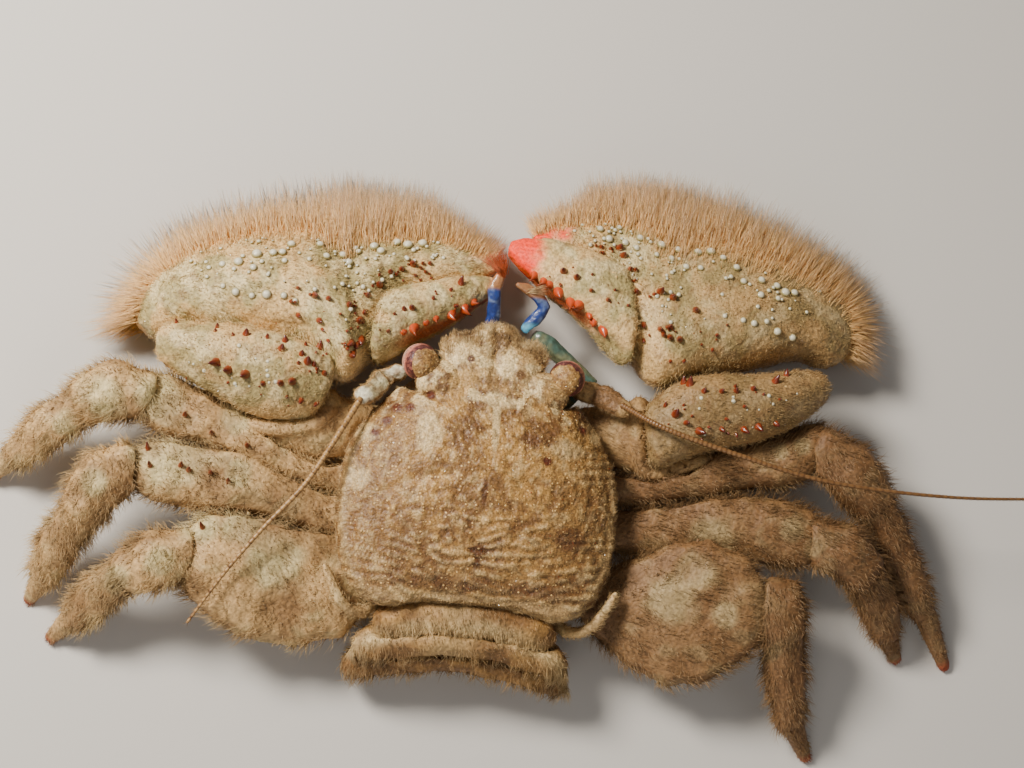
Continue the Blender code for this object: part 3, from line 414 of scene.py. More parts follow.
def noise(points, size, seed=0):
    """Smooth random values from 0 to 1, in lumps about size millimetres across."""
    place = np.asarray(points, float) / size + 17.3 * seed
    cell = np.floor(place).astype(np.int64)
    share = place - cell
    share = share * share * (3 - 2 * share)
    total = 0.0
    for corner in itertools.product((0, 1), repeat=3):
        x, y, z = np.moveaxis(cell + corner, -1, 0)
        mixed = (x * 73856093) ^ (y * 19349663) ^ (z * 83492791)
        mixed = (mixed ^ (mixed >> 13)) * 1274126177
        value = ((mixed ^ (mixed >> 16)) & 65535) / 65535
        total = total + value * np.prod(np.where(corner, share, 1 - share), axis=-1)
    return total


def fractal(points, size, octaves=3, seed=0):
    """Noise with finer and finer lumps, still about 0 to 1."""
    total, weight = 0.0, 0.0
    for k in range(octaves):
        total = total + noise(points, size / 2**k, seed + k) / 2**k
        weight += 1 / 2**k
    return total / weight


def clouds(points, size, low, high, seed, octaves=3):
    """Soft patches, 0 where fractal noise is under low and 1 where it is over high."""
    return ramp(fractal(points, size, octaves, seed), low, high)


def lumps(points, height, size, seed, octaves=3):
    """Relief by fractal noise, up and down by half its height."""
    return height * (fractal(points, size, octaves, seed) - 0.5)


def bell(value, middle, width):
    """1 at the middle, falling to 0 some widths away."""
    return np.exp(-(((value - middle) / width) ** 2))


def spot(points, x, y, rx, ry):
    """1 in a soft oval round a place seen from above, 0 outside it."""
    distance = np.sqrt(((points[..., 0] - x) / rx) ** 2 + ((points[..., 1] - y) / ry) ** 2)
    return 1 - ramp(distance + lumps(points, 0.5, 0.8, 5, 2), 0.6, 1.15)


def marks(points, places):
    """The strongest of some soft oval marks, each given by its place, its two radii and its strength."""
    shade = np.zeros(len(points))
    for x, y, rx, ry, strength in places:
        shade = np.maximum(shade, strength * spot(points, x, y, rx, ry))
    return shade


def point_tree(points):
    """A tree that finds the nearest of some points."""
    tree = KDTree(len(points))
    for index, place in enumerate(points):
        tree.insert(place, index)
    tree.balance()
    return tree


def closeness(points, others, reach):
    """1 where a point lies within half the reach of the other points, down to 0 at the reach."""
    tree = point_tree(others)
    away = np.array([tree.find(place)[2] for place in points])
    return 1 - ramp(away, 0.5 * reach, reach)


def outline_point(s):
    """A point of the shield's outline, s from 0 to 1 from the front midline round by the left side."""
    outline = np.array(SHIELD_EDGE + [(-x, y) for x, y in reversed(SHIELD_EDGE[1:-1])], float)
    closed = np.concatenate([outline[-2:], outline, outline[:3]])
    return curve(closed, (2 + (np.asarray(s) % 1.0) * len(outline)) / (len(closed) - 1))


# Where the crab's own frame lies in the frame of the solids, and how far forwards the fringe may go.
shield_low, shield_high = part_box("carapace")
OFFSET = np.array((
    (shield_low.x + shield_high.x) / 2 / MM,
    shield_low.y / MM - SHIELD_EDGE[0][1],
    0.0,
))
FRINGE_LIMIT = cad_box[0][1] / MM - OFFSET[1] - 0.8


class Limb:
    """A flattened segment between a front edge and a rear edge, with half its depth along the way."""

    def __init__(self, stations, side=LEFT, square=2.3, ends=(0.12, 0.12), blunt=0.6):
        mirror = np.array((side, 1.0, 1.0))
        self.front = np.array([front for front, rear, depth in stations], float) * mirror
        self.rear = np.array([rear for front, rear, depth in stations], float) * mirror
        self.depth = np.array([depth for front, rear, depth in stations], float)
        self.square, self.ends, self.blunt = square, ends, blunt

    def centre(self, t):
        return (curve(self.front, t) + curve(self.rear, t)) / 2

    def axes(self, t):
        """Half width vector to the front edge, half depth vector upwards and the unit vector along."""
        t = np.asarray(t, float)
        along = unit(self.centre(np.minimum(t + 0.01, 1.0)) - self.centre(np.maximum(t - 0.01, 0.0)))
        side = (curve(self.front, t) - curve(self.rear, t)) / 2
        up = unit(np.cross(side, along))
        up = up * np.where(up[..., 2:] > 0, 1.0, -1.0)
        return side, up * curve(self.depth, t)[..., None], along

    def rounding(self, t):
        factor = np.ones_like(t)
        for distance, reach in ((t, self.ends[0]), (1 - t, self.ends[1])):
            inside = np.sqrt(np.clip(1 - (1 - distance / reach) ** 2, 0.0, 1.0))
            factor = factor * np.where(distance < reach, self.blunt + (1 - self.blunt) * inside, 1.0)
        return factor

    def point(self, t, angle, grow=0.0):
        """A point of the skin. Angle 0 is the front edge, a quarter turn the top."""
        t, angle = np.broadcast_arrays(np.asarray(t, float), np.asarray(angle, float))
        side, up, along = self.axes(t)
        c, s = np.cos(angle), np.sin(angle)
        oval = (np.abs(c) ** self.square + np.abs(s) ** self.square) ** (-1 / self.square)
        radius = oval * self.rounding(t)
        across = (side + unit(side) * grow) * (c * radius)[..., None]
        return self.centre(t) + across + (up + unit(up) * grow) * (s * radius)[..., None]

    def normal(self, t, angle):
        return unit(self.point(t, angle, 0.3) - self.point(t, angle, 0.0))


def vertex_normals(points, triangles):
    corners = points[triangles]
    faces = np.cross(corners[:, 1] - corners[:, 0], corners[:, 2] - corners[:, 0])
    normals = np.zeros_like(points)
    for k in range(3):
        for axis in range(3):
            normals[:, axis] += np.bincount(triangles[:, k], faces[:, axis], len(points))
    return unit(normals)


class Skin:
    """A closed surface of triangles, with its unwrap, the lie of its coat and its colours."""

    def __init__(self, points, triangles, unwrap, lie):
        self.points, self.triangles, self.unwrap, self.lie = points, triangles, unwrap, lie
        if self.volume() < 0:
            self.triangles = triangles[:, ::-1]
        self.colours = np.tile(FELT, (len(points), 1))

    def volume(self):
        a, b, c = np.moveaxis(self.points[self.triangles], 1, 0)
        return (np.cross(a, b) * c).sum() / 6

    @property
    def normals(self):
        return vertex_normals(self.points, self.triangles)

    def emboss(self, height):
        """Moves the skin out along its normals by a height for each point."""
        self.points = self.points + self.normals * np.asarray(height)[..., None]

    def scatter(self, count, rng, keep=None):
        """Random places on the skin, more where keep, a weight for each point, is higher."""
        corners = self.points[self.triangles]
        first, second, third = np.moveaxis(corners, 1, 0)
        area = np.linalg.norm(np.cross(second - first, third - first), axis=1)
        if keep is not None:
            area = area * np.asarray(keep)[self.triangles].mean(1)
        picked = rng.choice(len(area), int(count), p=area / area.sum())
        share = rng.dirichlet((1.0, 1.0, 1.0), int(count))[..., None]
        root = self.triangles[picked, 0]
        place = (corners[picked] * share).sum(1)
        return place, self.normals[root], self.lie[root], self.unwrap[root], self.colours[root]


def grid_skin(rings):
    """A skin from rings of points, closed at both ends. The lie of the coat runs from ring to ring."""
    rows, columns, _ = rings.shape
    points = np.concatenate([rings.reshape(-1, 3), rings[[0, -1]].mean(1)])
    row, column = np.meshgrid(np.arange(rows - 1), np.arange(columns), indexing="ij")
    a = (row * columns + column).ravel()
    b = (row * columns + (column + 1) % columns).ravel()
    triangles = [np.stack([a, b, b + columns], 1), np.stack([a, b + columns, a + columns], 1)]
    edge = np.arange(columns)
    after = (edge + 1) % columns
    last = (rows - 1) * columns
    first_cap, last_cap = (np.full(columns, len(points) - k) for k in (2, 1))
    triangles.append(np.stack([first_cap, after, edge], 1))
    triangles.append(np.stack([last_cap, last + edge, last + after], 1))
    u, v = np.meshgrid(np.linspace(0.01, 0.99, rows), np.linspace(0.01, 0.99, columns), indexing="ij")
    unwrap = np.concatenate([np.stack([u, v], -1).reshape(-1, 2), [(0.01, 0.5), (0.99, 0.5)]])
    lie = unit(np.gradient(rings, axis=0)).reshape(-1, 3)
    lie = np.concatenate([lie, lie[[0, -1]]])
    return Skin(points, np.concatenate(triangles), unwrap, lie)


def limb_skin(limb, rows, columns, floor=None):
    """The fine skin of a limb, with the place along it and the angle round it of each point."""
    caps = np.array((0.0, 0.35, 0.7))
    t = np.concatenate([np.zeros(3), np.linspace(0.0, 1.0, rows), np.ones(3)])
    shrink = np.concatenate([caps, np.ones(rows), caps[::-1]])
    angle = np.linspace(0.0, 2 * math.pi, columns, endpoint=False)
    along, round_it = np.meshgrid(t, angle, indexing="ij")
    rings = limb.point(along, round_it)
    middle = limb.centre(along)
    rings = middle + (rings - middle) * np.maximum(shrink, 0.02)[:, None, None]
    if floor is not None:
        rings[..., 2] = np.maximum(rings[..., 2], floor)
    skin = grid_skin(rings)
    skin.limb = limb
    skin.t = np.append(along.ravel(), (0.0, 1.0))
    skin.degrees = np.degrees(np.append(round_it.ravel(), (0.0, 0.0)))
    return skin


def even_surface(node, voxel, rounds):
    """Points and triangles of a CAD node, made even and smoothed."""
    copy = bpy.data.objects.new("copy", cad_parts[node].data.copy())
    bpy.context.scene.collection.objects.link(copy)
    even = copy.modifiers.new("even", "REMESH")
    even.mode, even.voxel_size = "VOXEL", voxel * MM
    soft = copy.modifiers.new("soft", "SMOOTH")
    soft.factor, soft.iterations = 0.5, rounds
    graph = bpy.context.evaluated_depsgraph_get()
    mesh = bpy.data.meshes.new_from_object(copy.evaluated_get(graph))
    points = np.empty(len(mesh.vertices) * 3)
    mesh.vertices.foreach_get("co", points)
    mesh.calc_loop_triangles()
    triangles = np.empty(len(mesh.loop_triangles) * 3, int)
    mesh.loop_triangles.foreach_get("vertices", triangles)
    bpy.data.objects.remove(copy)
    bpy.data.meshes.remove(mesh)
    return points.reshape(-1, 3) / MM - OFFSET, triangles.reshape(-1, 3)


def node_skin(node, voxel, rounds, inset=0.1, lie=None, reach=0.0):
    """A fine, rounded skin from a CAD node, unwrapped round its own long axis. The inset narrows it,
    and reach lengthens it at both ends, so that the parts of a leg meet."""
    points, triangles = even_surface(node, voxel, rounds)
    centre = points.mean(0)
    axes = np.linalg.svd(points - centre, full_matrices=False)[2]
    axes[0] *= np.sign(axes[0] @ (centre * (1, 1, 0))) or 1.0
    along, across, over = ((points - centre) @ axes.T).T
    share = (along - along.min()) / np.ptp(along)
    turn = np.arctan2(over, across) / (2 * math.pi) + 0.5
    unwrap = np.stack([share, turn], 1) * 0.98 + 0.01
    way = axes[0] if lie is None else lie
    skin = Skin(points, triangles, unwrap, np.tile(way, (len(points), 1)))
    skin.share = share
    normals = skin.normals
    if reach:
        normals = normals - (normals @ axes[0])[:, None] * axes[0]
        end = np.sign(share - 0.5) * ramp(np.abs(2 * share - 1), 0.55, 0.95)
        skin.points = skin.points + axes[0] * (reach * end)[:, None]
    skin.points = skin.points - normals * inset
    return skin


def ball_skin(centre, axis, polar, radii):
    """A skin of rings round an axis through a centre, each at its own angle from the axis and radius."""
    columns = np.linspace(0.0, 2 * math.pi, BALL_COLUMNS, endpoint=False)
    tilt, turn = np.meshgrid(polar, columns, indexing="ij")
    across = unit(np.cross(axis, (0.0, 1.0, 0.0)))
    over = np.cross(axis, across)
    outwards = across * np.cos(turn)[..., None] + over * np.sin(turn)[..., None]
    way = axis * np.cos(tilt)[..., None] + outwards * np.sin(tilt)[..., None]
    skin = grid_skin(centre + way * np.asarray(radii)[:, None, None])
    skin.angle = np.degrees(np.append(tilt.ravel(), (polar[0], polar[-1])))
    return skin


def mesh_object(name, points, triangles, colours, material, slot, patch=None, smooth=True):
    """A piece from arrays, in metres. It rides on the body and carries its colours, and its coat map
    if it has one."""
    mesh = bpy.data.meshes.new(name)
    mesh.vertices.add(len(points))
    mesh.vertices.foreach_set("co", ((points + OFFSET) * MM).ravel())
    mesh.loops.add(triangles.size)
    mesh.loops.foreach_set("vertex_index", triangles.ravel())
    mesh.polygons.add(len(triangles))
    mesh.polygons.foreach_set("loop_start", np.arange(0, triangles.size, 3))
    mesh.update(calc_edges=True)
    mesh.polygons.foreach_set("use_smooth", np.full(len(triangles), smooth))
    paint = mesh.attributes.new("paint", "FLOAT_COLOR", "POINT")
    paint.data.foreach_set("color", np.hstack([colours, np.ones((len(points), 1))]).ravel())
    if patch is not None:
        layer = mesh.uv_layers.new(name="OFBake")
        layer.uv.foreach_set("vector", patch[triangles.ravel()].ravel())
    mesh.materials.append(MATERIALS[material])
    piece = bpy.data.objects.new(name, mesh)
    bpy.context.scene.collection.objects.link(piece)
    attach(piece, "root")
    return piece


def skin_object(name, skin, material, slot, *nodes):
    piece = mesh_object(name, skin.points, skin.triangles, skin.colours, material, slot)
    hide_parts(*nodes)
    return piece


def node_object(node, skin, material, slot):
    """The piece that takes the place of one CAD node."""
    return skin_object(f"{node}_skin", skin, material, slot, node)


def joined(parts):
    """Several (points, triangles, colours) as one."""
    first = np.cumsum([0] + [len(points) for points, _, _ in parts[:-1]])
    triangles = np.concatenate([triangles + start for (_, triangles, _), start in zip(parts, first)])
    return np.concatenate([p for p, _, _ in parts]), triangles, np.concatenate([c for _, _, c in parts])


def spikes(middles, widths, way, aside, sides):
    """Closed spikes as points and triangles. Middles has the middle of each ring and the tip, widths the
    radius of each ring, as arrays over the spikes, and way is the direction of each."""
    across = unit(np.cross(way, aside))
    over = np.cross(way, across)
    rings = len(widths)
    points = np.empty((len(way), rings * sides + 1, 3))
    for ring, width in enumerate(widths):
        for k in range(sides):
            turn = 2 * math.pi * k / sides
            arm = across * math.cos(turn) + over * math.sin(turn)
            points[:, ring * sides + k] = middles[ring] + arm * width[:, None]
    points[:, -1] = middles[-1]
    one = [(0, k + 1, k) for k in range(1, sides - 1)]
    for ring in range(rings - 1):
        for k in range(sides):
            a, b = ring * sides + k, ring * sides + (k + 1) % sides
            one += [(a, b, b + sides), (a, b + sides, a + sides)]
    top = (rings - 1) * sides
    one += [(top + k, top + (k + 1) % sides, rings * sides) for k in range(sides)]
    return points, np.arange(len(way))[:, None, None] * points.shape[1] + np.array(one)


def coat(name, groups, material, slot):
    """One coat piece: three-sided hairs, each with a small patch of the OFBake map at its root."""
    parts, patches = [], []
    for cell, group in enumerate(groups):
        path = group["path"]
        rings = len(path) - 1
        widths = [group["radius"] * width for width in np.linspace(1.0, 0.6, rings)]
        points, triangles = spikes(path, widths, unit(path[-1] - path[0]), (0.31, 0.17, 0.93), 3)
        points[..., 2] = np.maximum(points[..., 2], FLOOR_CLEARANCE)
        size = points.shape[1]
        shade = (np.arange(size) // 3 / rings)[None, :, None]
        paint = group["root"][:, None] * (1 - shade) + group["tip"][:, None] * shade
        place = group["unwrap"] * (0.99 / len(groups), 0.99) + (cell / len(groups), 0.0)
        local = np.array([(k % 3, k // 3) for k in range(size)]) * PATCH_STEP
        parts.append((points.reshape(-1, 3), triangles.reshape(-1, 3), paint.reshape(-1, 3)))
        patches.append((place[:, None] + local).reshape(-1, 2))
    return mesh_object(name, *joined(parts), material, slot, np.concatenate(patches))


def strands(skin, hair, keep=None, tip=None, tint=0.5, spread=0.25, clump=0.0):
    """Short hairs rooted at random on a skin, more where keep is higher. Clump is the share by which
    their tips are drawn together into tufts."""
    count, length, radius, rise, seed = hair
    rng = np.random.default_rng(seed)
    root, normal, lie, unwrap, colour = skin.scatter(count * DENSITY, rng, keep)
    lie = unit(lie - normal * (lie * normal).sum(1, keepdims=True))
    lift = math.radians(rise)
    number = len(root)
    way = unit(lie * math.cos(lift) + normal * math.sin(lift) + rng.normal(0.0, spread, (number, 3)))
    size = (length * rng.uniform(0.6, 1.15, number))[:, None]
    bend = (lie * 0.8 - normal * 0.4 + rng.normal(0.0, 0.35, (number, 3))) * CURL
    middle, end = root + (way * 0.5 + bend * 0.25) * size, root + (way + bend) * size
    if clump:
        heads = rng.choice(number, max(number // HAIRS_IN_TUFT, 1), replace=False)
        tree = point_tree(root[heads])
        nearest = heads[[tree.find(place)[1] for place in root]]
        pull = (end[nearest] - end) * clump
        pull *= (1 - ramp(np.linalg.norm(pull, axis=1), 0.4, 0.8))[:, None]
        middle, end = middle + pull * 0.35, end + pull
    return {
        "path": [root - normal * 0.05, middle, end], "radius": radius * rng.uniform(0.75, 1.25, number),
        "root": colour, "tip": colour if tip is None else mix(colour, tip, tint), "unwrap": unwrap,
    }


def studs(shape, feet, normals, leans, radii, heights, base, tip, sides=10):
    """Turned tubercles as arrays of points, triangles and colours, each leaning a little as it rises."""
    levels, widths = np.array([*STUD_SHAPES[shape], (1.0, 0.0)]).T
    middles, shades = [], []
    for level in levels:
        rise, lean = heights * level, heights * max(level, 0.0) ** 2
        middles.append(feet + normals * rise[:, None] + leans * lean[:, None])
        shades.append(mix(base, tip, np.full(len(feet), ramp(level, 0.15, 0.8))))
    rings = [radii * width for width in widths[:-1]]
    points, triangles = spikes(middles, rings, normals, (0.3, 1.0, 0.1), sides)
    colours = np.stack([shades[k // sides] for k in range(points.shape[1])], axis=1)
    return points.reshape(-1, 3), triangles.reshape(-1, 3), colours.reshape(-1, 3)


def grains(name, skin, count, size, seed, slot, keep=None):
    """Shell granules, sand grains and bright flecks caught in the felt; the flecks' brightness is partly
    a painted glint.
    """
    rng = np.random.default_rng(seed)
    feet, normals, _, _, colour = skin.scatter(count * DENSITY, rng, keep)
    number = len(feet)
    normals = unit(normals + rng.normal(0.0, 0.4, (number, 3)))
    radii = size * rng.uniform(0.5, 1.3, number) ** 1.5
    bright = rng.random(number)
    # Many grains are painted towards the glint colour: a painted glint on real grains.
    base = mix(colour, GLINT, 0.85 * ramp(bright, 0.45, 1.0))
    base = np.where((bright < 0.03)[:, None], np.array(RED_BROWN), base)
    leans = rng.normal(0.0, 0.3, (number, 3))
    heights = radii * rng.uniform(0.8, 1.6, number)
    made = studs("grain", feet, normals, leans, radii, heights, base, base, sides=4)
    return mesh_object(name, *made, "grit", slot, smooth=False)


class Nodes:
    """The node tree of a new material. A socket is given a value, or the output that it is linked to."""

    def __init__(self, name):
        self.material = bpy.data.materials.new(name)
        self.material.use_nodes = True
        self.tree = self.material.node_tree
        self.shader = self.tree.nodes["Principled BSDF"]
        self.place = self.add("TexCoord", {}, "Object")

    def fill(self, node, sockets):
        for key, value in sockets.items():
            if isinstance(value, bpy.types.NodeSocket):
                self.tree.links.new(value, node.inputs[key])
            else:
                node.inputs[key].default_value = value

    def add(self, kind, sockets, output, **settings):
        node = self.tree.nodes.new(f"ShaderNode{kind}")
        for key, value in settings.items():
            setattr(node, key, value)
        self.fill(node, sockets)
        return node.outputs[output]

    def remap(self, value, before, after):
        """A value mapped from one range to another."""
        names = ("From Min", "From Max", "To Min", "To Max")
        return self.add("MapRange", {"Value": value, **dict(zip(names, before + after))}, "Result")

    def paint(self, value, spread):
        """The piece's own paint, darker where a noise value is low and lighter where it is high."""
        shade = self.remap(value, (0.3, 0.7), (1 - spread, 1 + spread))
        paint = self.add("Attribute", {}, "Color", attribute_name="paint")
        return self.add("VectorMath", {0: paint, "Scale": shade}, "Vector", operation="SCALE")


def shell_material(name, roughness, grain=0.22, speckle=0.25, bump=0.35, glint=0.0, **sockets):
    """Painted shell, varied by fine grains and dark specks, with painted glints in bright cells, in
    relief.
    """
    nodes = Nodes(name)
    noise_sockets = {"Vector": nodes.place, "Scale": 1 / (grain * MM), "Detail": 3.0, "Roughness": 0.6}
    fine = nodes.add("TexNoise", noise_sockets, "Fac")
    cells = nodes.add("TexVoronoi", {"Vector": nodes.place, "Scale": 1 / (grain * 1.6 * MM)}, "Distance")
    colour = nodes.paint(fine, speckle)
    # Painted glints: small cells painted in the glint colour stand in for sparkle off the granules.
    if glint:
        near = nodes.remap(cells, (0.34, 0.2), (0.0, 1.0))
        random = cells.node.outputs["Color"]
        some = nodes.add("Math", {0: random, 1: glint}, "Value", operation="LESS_THAN")
        share = nodes.add("Math", {0: near, 1: some}, "Value", operation="MULTIPLY")
        colour = nodes.add("Mix", {0: share, 6: colour, 7: (*GLINT, 1.0)}, 2, data_type="RGBA")
    height = nodes.add("Math", {0: fine, 1: cells}, "Value", operation="SUBTRACT")
    relief = {"Height": height, "Strength": bump, "Distance": grain * 0.5 * MM}
    nodes.fill(nodes.shader, {
        "Base Color": colour,
        "Roughness": nodes.remap(fine, (0.2, 0.8), (roughness + 0.12, roughness - 0.12)),
        "Normal": nodes.add("Bump", relief, "Normal"),
        **{socket.replace("_", " "): value for socket, value in sockets.items()},
    })
    return nodes.material


def hair_material(name, roughness):
    """Painted hair, a little lighter and darker from lock to lock, with a warm sheen."""
    nodes = Nodes(name)
    sockets = {"Vector": nodes.place, "Scale": 1 / (TUFT_SIZE * MM), "Detail": 2.0}
    tufts = nodes.add("TexNoise", sockets, "Fac")
    nodes.fill(nodes.shader, {
        "Base Color": nodes.paint(tufts, 0.18), "Roughness": roughness,
        "Sheen Weight": 0.3, "Sheen Roughness": 0.5, "Sheen Tint": SHEEN_TINT,
    })
    return nodes.material


MATERIALS = {
    "shell": shell_material("shield_shell", 0.5, grain=0.12, speckle=0.45, bump=0.7, glint=0.3),
    "claw": shell_material("claw_shell", 0.58, grain=0.16, speckle=0.35, bump=0.6, glint=0.1),
    "leg": shell_material("leg_shell", 0.65, grain=0.18, speckle=0.35, bump=0.5),
    "pearl": shell_material(
        "pearl_tubercles", 0.38, grain=0.12, speckle=0.1, bump=0.12, Coat_Weight=0.15,
    ),
    "stud": shell_material("horny_tubercles", 0.32, grain=0.1, speckle=0.15, bump=0.1, Coat_Weight=0.3),
    "mouth": shell_material("mouth_shell", 0.35, grain=0.25, speckle=0.3, bump=0.3, Coat_Weight=0.3),
    "eye": shell_material("eye_surface", 0.42, grain=0.06, speckle=0.6, bump=0.45, Coat_Weight=0.12),
    "feeler": shell_material("feeler_shell", 0.4, grain=0.15, speckle=0.2, bump=0.15),
    "grit": shell_material("grit_grains", 0.2, grain=0.1, speckle=0.1, bump=0.05, Coat_Weight=0.5),
    "fringe": hair_material("fringe_hair", 0.6),
    "felt": hair_material("felt_hair", 0.7),
}


def shield_height(y):
    """Height of the shield's rim, which rises over the face and a little at the rear."""
    return 5.0 + 1.1 * (1 - ramp(y, -8.0, -2.5)) + 0.3 * ramp(y, 4.0, 7.5)


def ring_blur(values, width):
    """Rows of values round closed rings, each row smoothed over its own width in columns."""
    columns = values.shape[1]
    frequency = np.fft.rfftfreq(columns)[None, :, None]
    wave = np.exp(-2 * (math.pi * width[:, None, None] * frequency) ** 2)
    return np.fft.irfft(np.fft.rfft(values, axis=1) * wave, columns, axis=1)


def shield_rings(rows, columns):
    """Rings of the shield from the top's middle over its edge to the middle of its underside."""
    upper_share = 1 - (1 - np.linspace(0.02, 1.0, rows)) ** 1.3
    share = np.append(upper_share, (0.995, 0.985, 0.96, 0.93, 0.7, 0.4, 0.1))
    heart = np.array(SHIELD_HEART)
    edge = outline_point(np.linspace(0.0, 1.0, columns, endpoint=False)) - heart
    length = np.linalg.norm(edge, axis=1)
    way = edge / length[:, None]
    oval = np.where(way[:, 1] < 0, 7.6, 7.2)
    ease = (np.abs(way[:, 0] / SHIELD_HALF_WIDTH) ** 2.5 + np.abs(way[:, 1] / oval) ** 2.5) ** (-1 / 2.5)
    blend = np.append(1 - ramp(upper_share, 0.62, 1.0), np.zeros(len(share) - rows))
    arm = edge[None] * (1 + (ease / length - 1)[None, :, None] * blend[:, None, None])
    arm[:rows] = ring_blur(arm[:rows], 0.022 * columns * (1 - ramp(upper_share, 0.78, 0.99)))
    plan = heart + share[:, None, None] * arm
    rim = shield_height(plan[..., 1])
    dome = np.clip(1 - share**2.3, 0.0, 1.0) ** 0.6
    z = rim + (SHIELD_TOP - rim) * dome[:, None]
    z[:rows] = ring_blur(z[:rows, :, None], 0.02 * columns * (1 - ramp(upper_share, 0.86, 0.99)))[..., 0]
    under = FRONT_FLOOR + (SHIELD_FLOOR - FRONT_FLOOR) * ramp(plan[..., 1], -5.6, -3.6)
    z[rows + 3:] = under[rows + 3:]
    for row, drop in zip(range(rows, rows + 3), (0.35, 0.7, 0.9)):
        z[row] = rim[row] - (rim[row] - under[row]) * drop
    return np.concatenate([plan, z[..., None]], axis=-1), share


def ridge_area(points):
    """1 on the shield's rear half and sides, 0 elsewhere."""
    ax, y = np.abs(points[:, 0]), points[:, 1]
    return np.maximum(ramp(y, 0.5, 3.0), ramp(ax, 4.0, 6.0) * ramp(y, -3.5, -1.5))


def cross_ridges(points):
    """The fine broken cross ridges of the shield's rear half and sides, from 0 to 1."""
    wander = 0.7 * noise(points, 1.6, seed=3) + 0.16 * np.abs(points[:, 0])
    wave = np.abs(np.sin(math.pi * (points[:, 1] + wander) / RIDGE_STEP)) ** 2
    return wave * ridge_area(points) * clouds(points, 0.8, 0.35, 0.6, 4, 2)


def shield_relief(points, share, top):
    """Lobes, grooves, cross ridges and grains of the shield's upper side, in millimetres."""
    x, y = points[:, 0], points[:, 1]
    ax = np.abs(x)
    relief = -0.16 * bell(ax, 0.0, 0.28) * (1 - ramp(y, -6.5, -4.5))
    for cx, cy, radius, height in SHIELD_LOBES:
        relief += height * bell(np.hypot(ax - cx, y - cy), 0.0, radius)
    groove = 0.2 + 0.09 * (ax - 2.0) ** 2
    relief -= 0.12 * bell(y, groove, 0.3) * ramp(ax, 1.2, 2.2) * (1 - ramp(ax, 5.5, 6.8))
    relief -= 0.1 * np.exp(-(x * x + (y - 4.2) ** 2) / 0.5)
    relief += 0.11 * (cross_ridges(points) - 0.3)
    relief += lumps(points, 0.12, 0.7, 6, 2) + lumps(points, 0.1, 0.25, 7, 1)
    relief += 0.12 * bell(share, 0.955, 0.018) * ramp(y, -2.5, 0.0)
    return relief * top


def shield_colours(points, share):
    """Sandy brown, darker in mottled clouds, with pale and brown marks and dark dots in their places."""
    x, y = points[:, 0], points[:, 1]
    cloud = fractal(points, 1.6, 4, seed=11)
    fine = fractal(points, 0.4, 3, seed=12)
    dark = 0.65 * ramp(cloud + 0.6 * (fine - 0.5) + 0.05 * ramp(y, -4.0, 4.0), 0.44, 0.68)
    # Darker towards both side edges; the darkening towards the right edge (x < 0) is painted shade.
    dark = np.maximum(dark, 0.4 * ramp(-x, 3.5, 7.5) + 0.6 * ramp(x, 2.5, 7.0))
    colour = mix(SAND, BROWN, dark)
    colour = mix(colour, FELT_DARK, 0.5 * ramp(fine, 0.52, 0.72))
    edges = np.maximum(ramp(y, 6.5, 6.8), bell(share, 0.955, 0.02) * ramp(y, -2.5, 0.0))
    pale = 0.45 * clouds(points, 0.35, 0.54, 0.72, 13) + 0.35 * (1 - ramp(y, -6.5, -3.5))
    colour = mix(colour, WHITISH, np.maximum(pale, 0.45 * edges))
    front = 1 - ramp(y, -4.6, -2.6)
    colour = mix(colour, BROWN, 0.8 * front * clouds(points, 0.9, 0.48, 0.6, 66))
    pale = np.maximum(front * clouds(points, 0.7, 0.51, 0.59, 67), marks(points, PALE_MARKS))
    colour = mix(colour, CREAM, 0.85 * pale)
    ridges = cross_ridges(points)
    colour = mix(colour, BROWN, 0.3 * ridge_area(points) * (1 - ramp(ridges, 0.0, 0.4)))
    colour = mix(colour, CREAM, 0.3 * ramp(ridges, 0.4, 0.9))
    granule = noise(points, 0.25, seed=7)
    colour = mix(colour, GLINT, 0.4 * ramp(granule, 0.65, 0.95))
    colour = mix(colour, BROWN, 0.5 * (1 - ramp(granule, 0.1, 0.42)))
    rear = 0.6 * ramp(y, 5.5, 5.9) * (1 - ramp(y, 6.3, 6.6)) * (1 - ramp(np.abs(x), 4.5, 6.0))
    colour = mix(colour, BROWN, np.maximum(rear, marks(points, BROWN_MARKS)))
    dots = marks(points, [(dx, dy, DOT_RADIUS, DOT_RADIUS, 1.0) for dx, dy in DOTS])
    colour = mix(colour, mix(BROWN, RED_TIP, 0.6), dots)
    return mix(colour, UNDERSIDE, 1 - ramp(points[:, 2], 4.6, 5.2))


def make_shield():
    rows, columns = ((96, 340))
    rings, share = shield_rings(rows, columns)
    skin = grid_skin(rings)
    skin.share = np.append(np.repeat(share, columns), (0.0, 0.0))
    skin.top = np.append(np.repeat(np.arange(len(rings)) < rows, columns), (True, False)) * 1.0
    skin.colours = shield_colours(skin.points, skin.share)
    skin.emboss(shield_relief(skin.points, skin.share, skin.top) - 0.06)
    skin_object("shield_skin", skin, "shell", "shell", "carapace")
    return skin


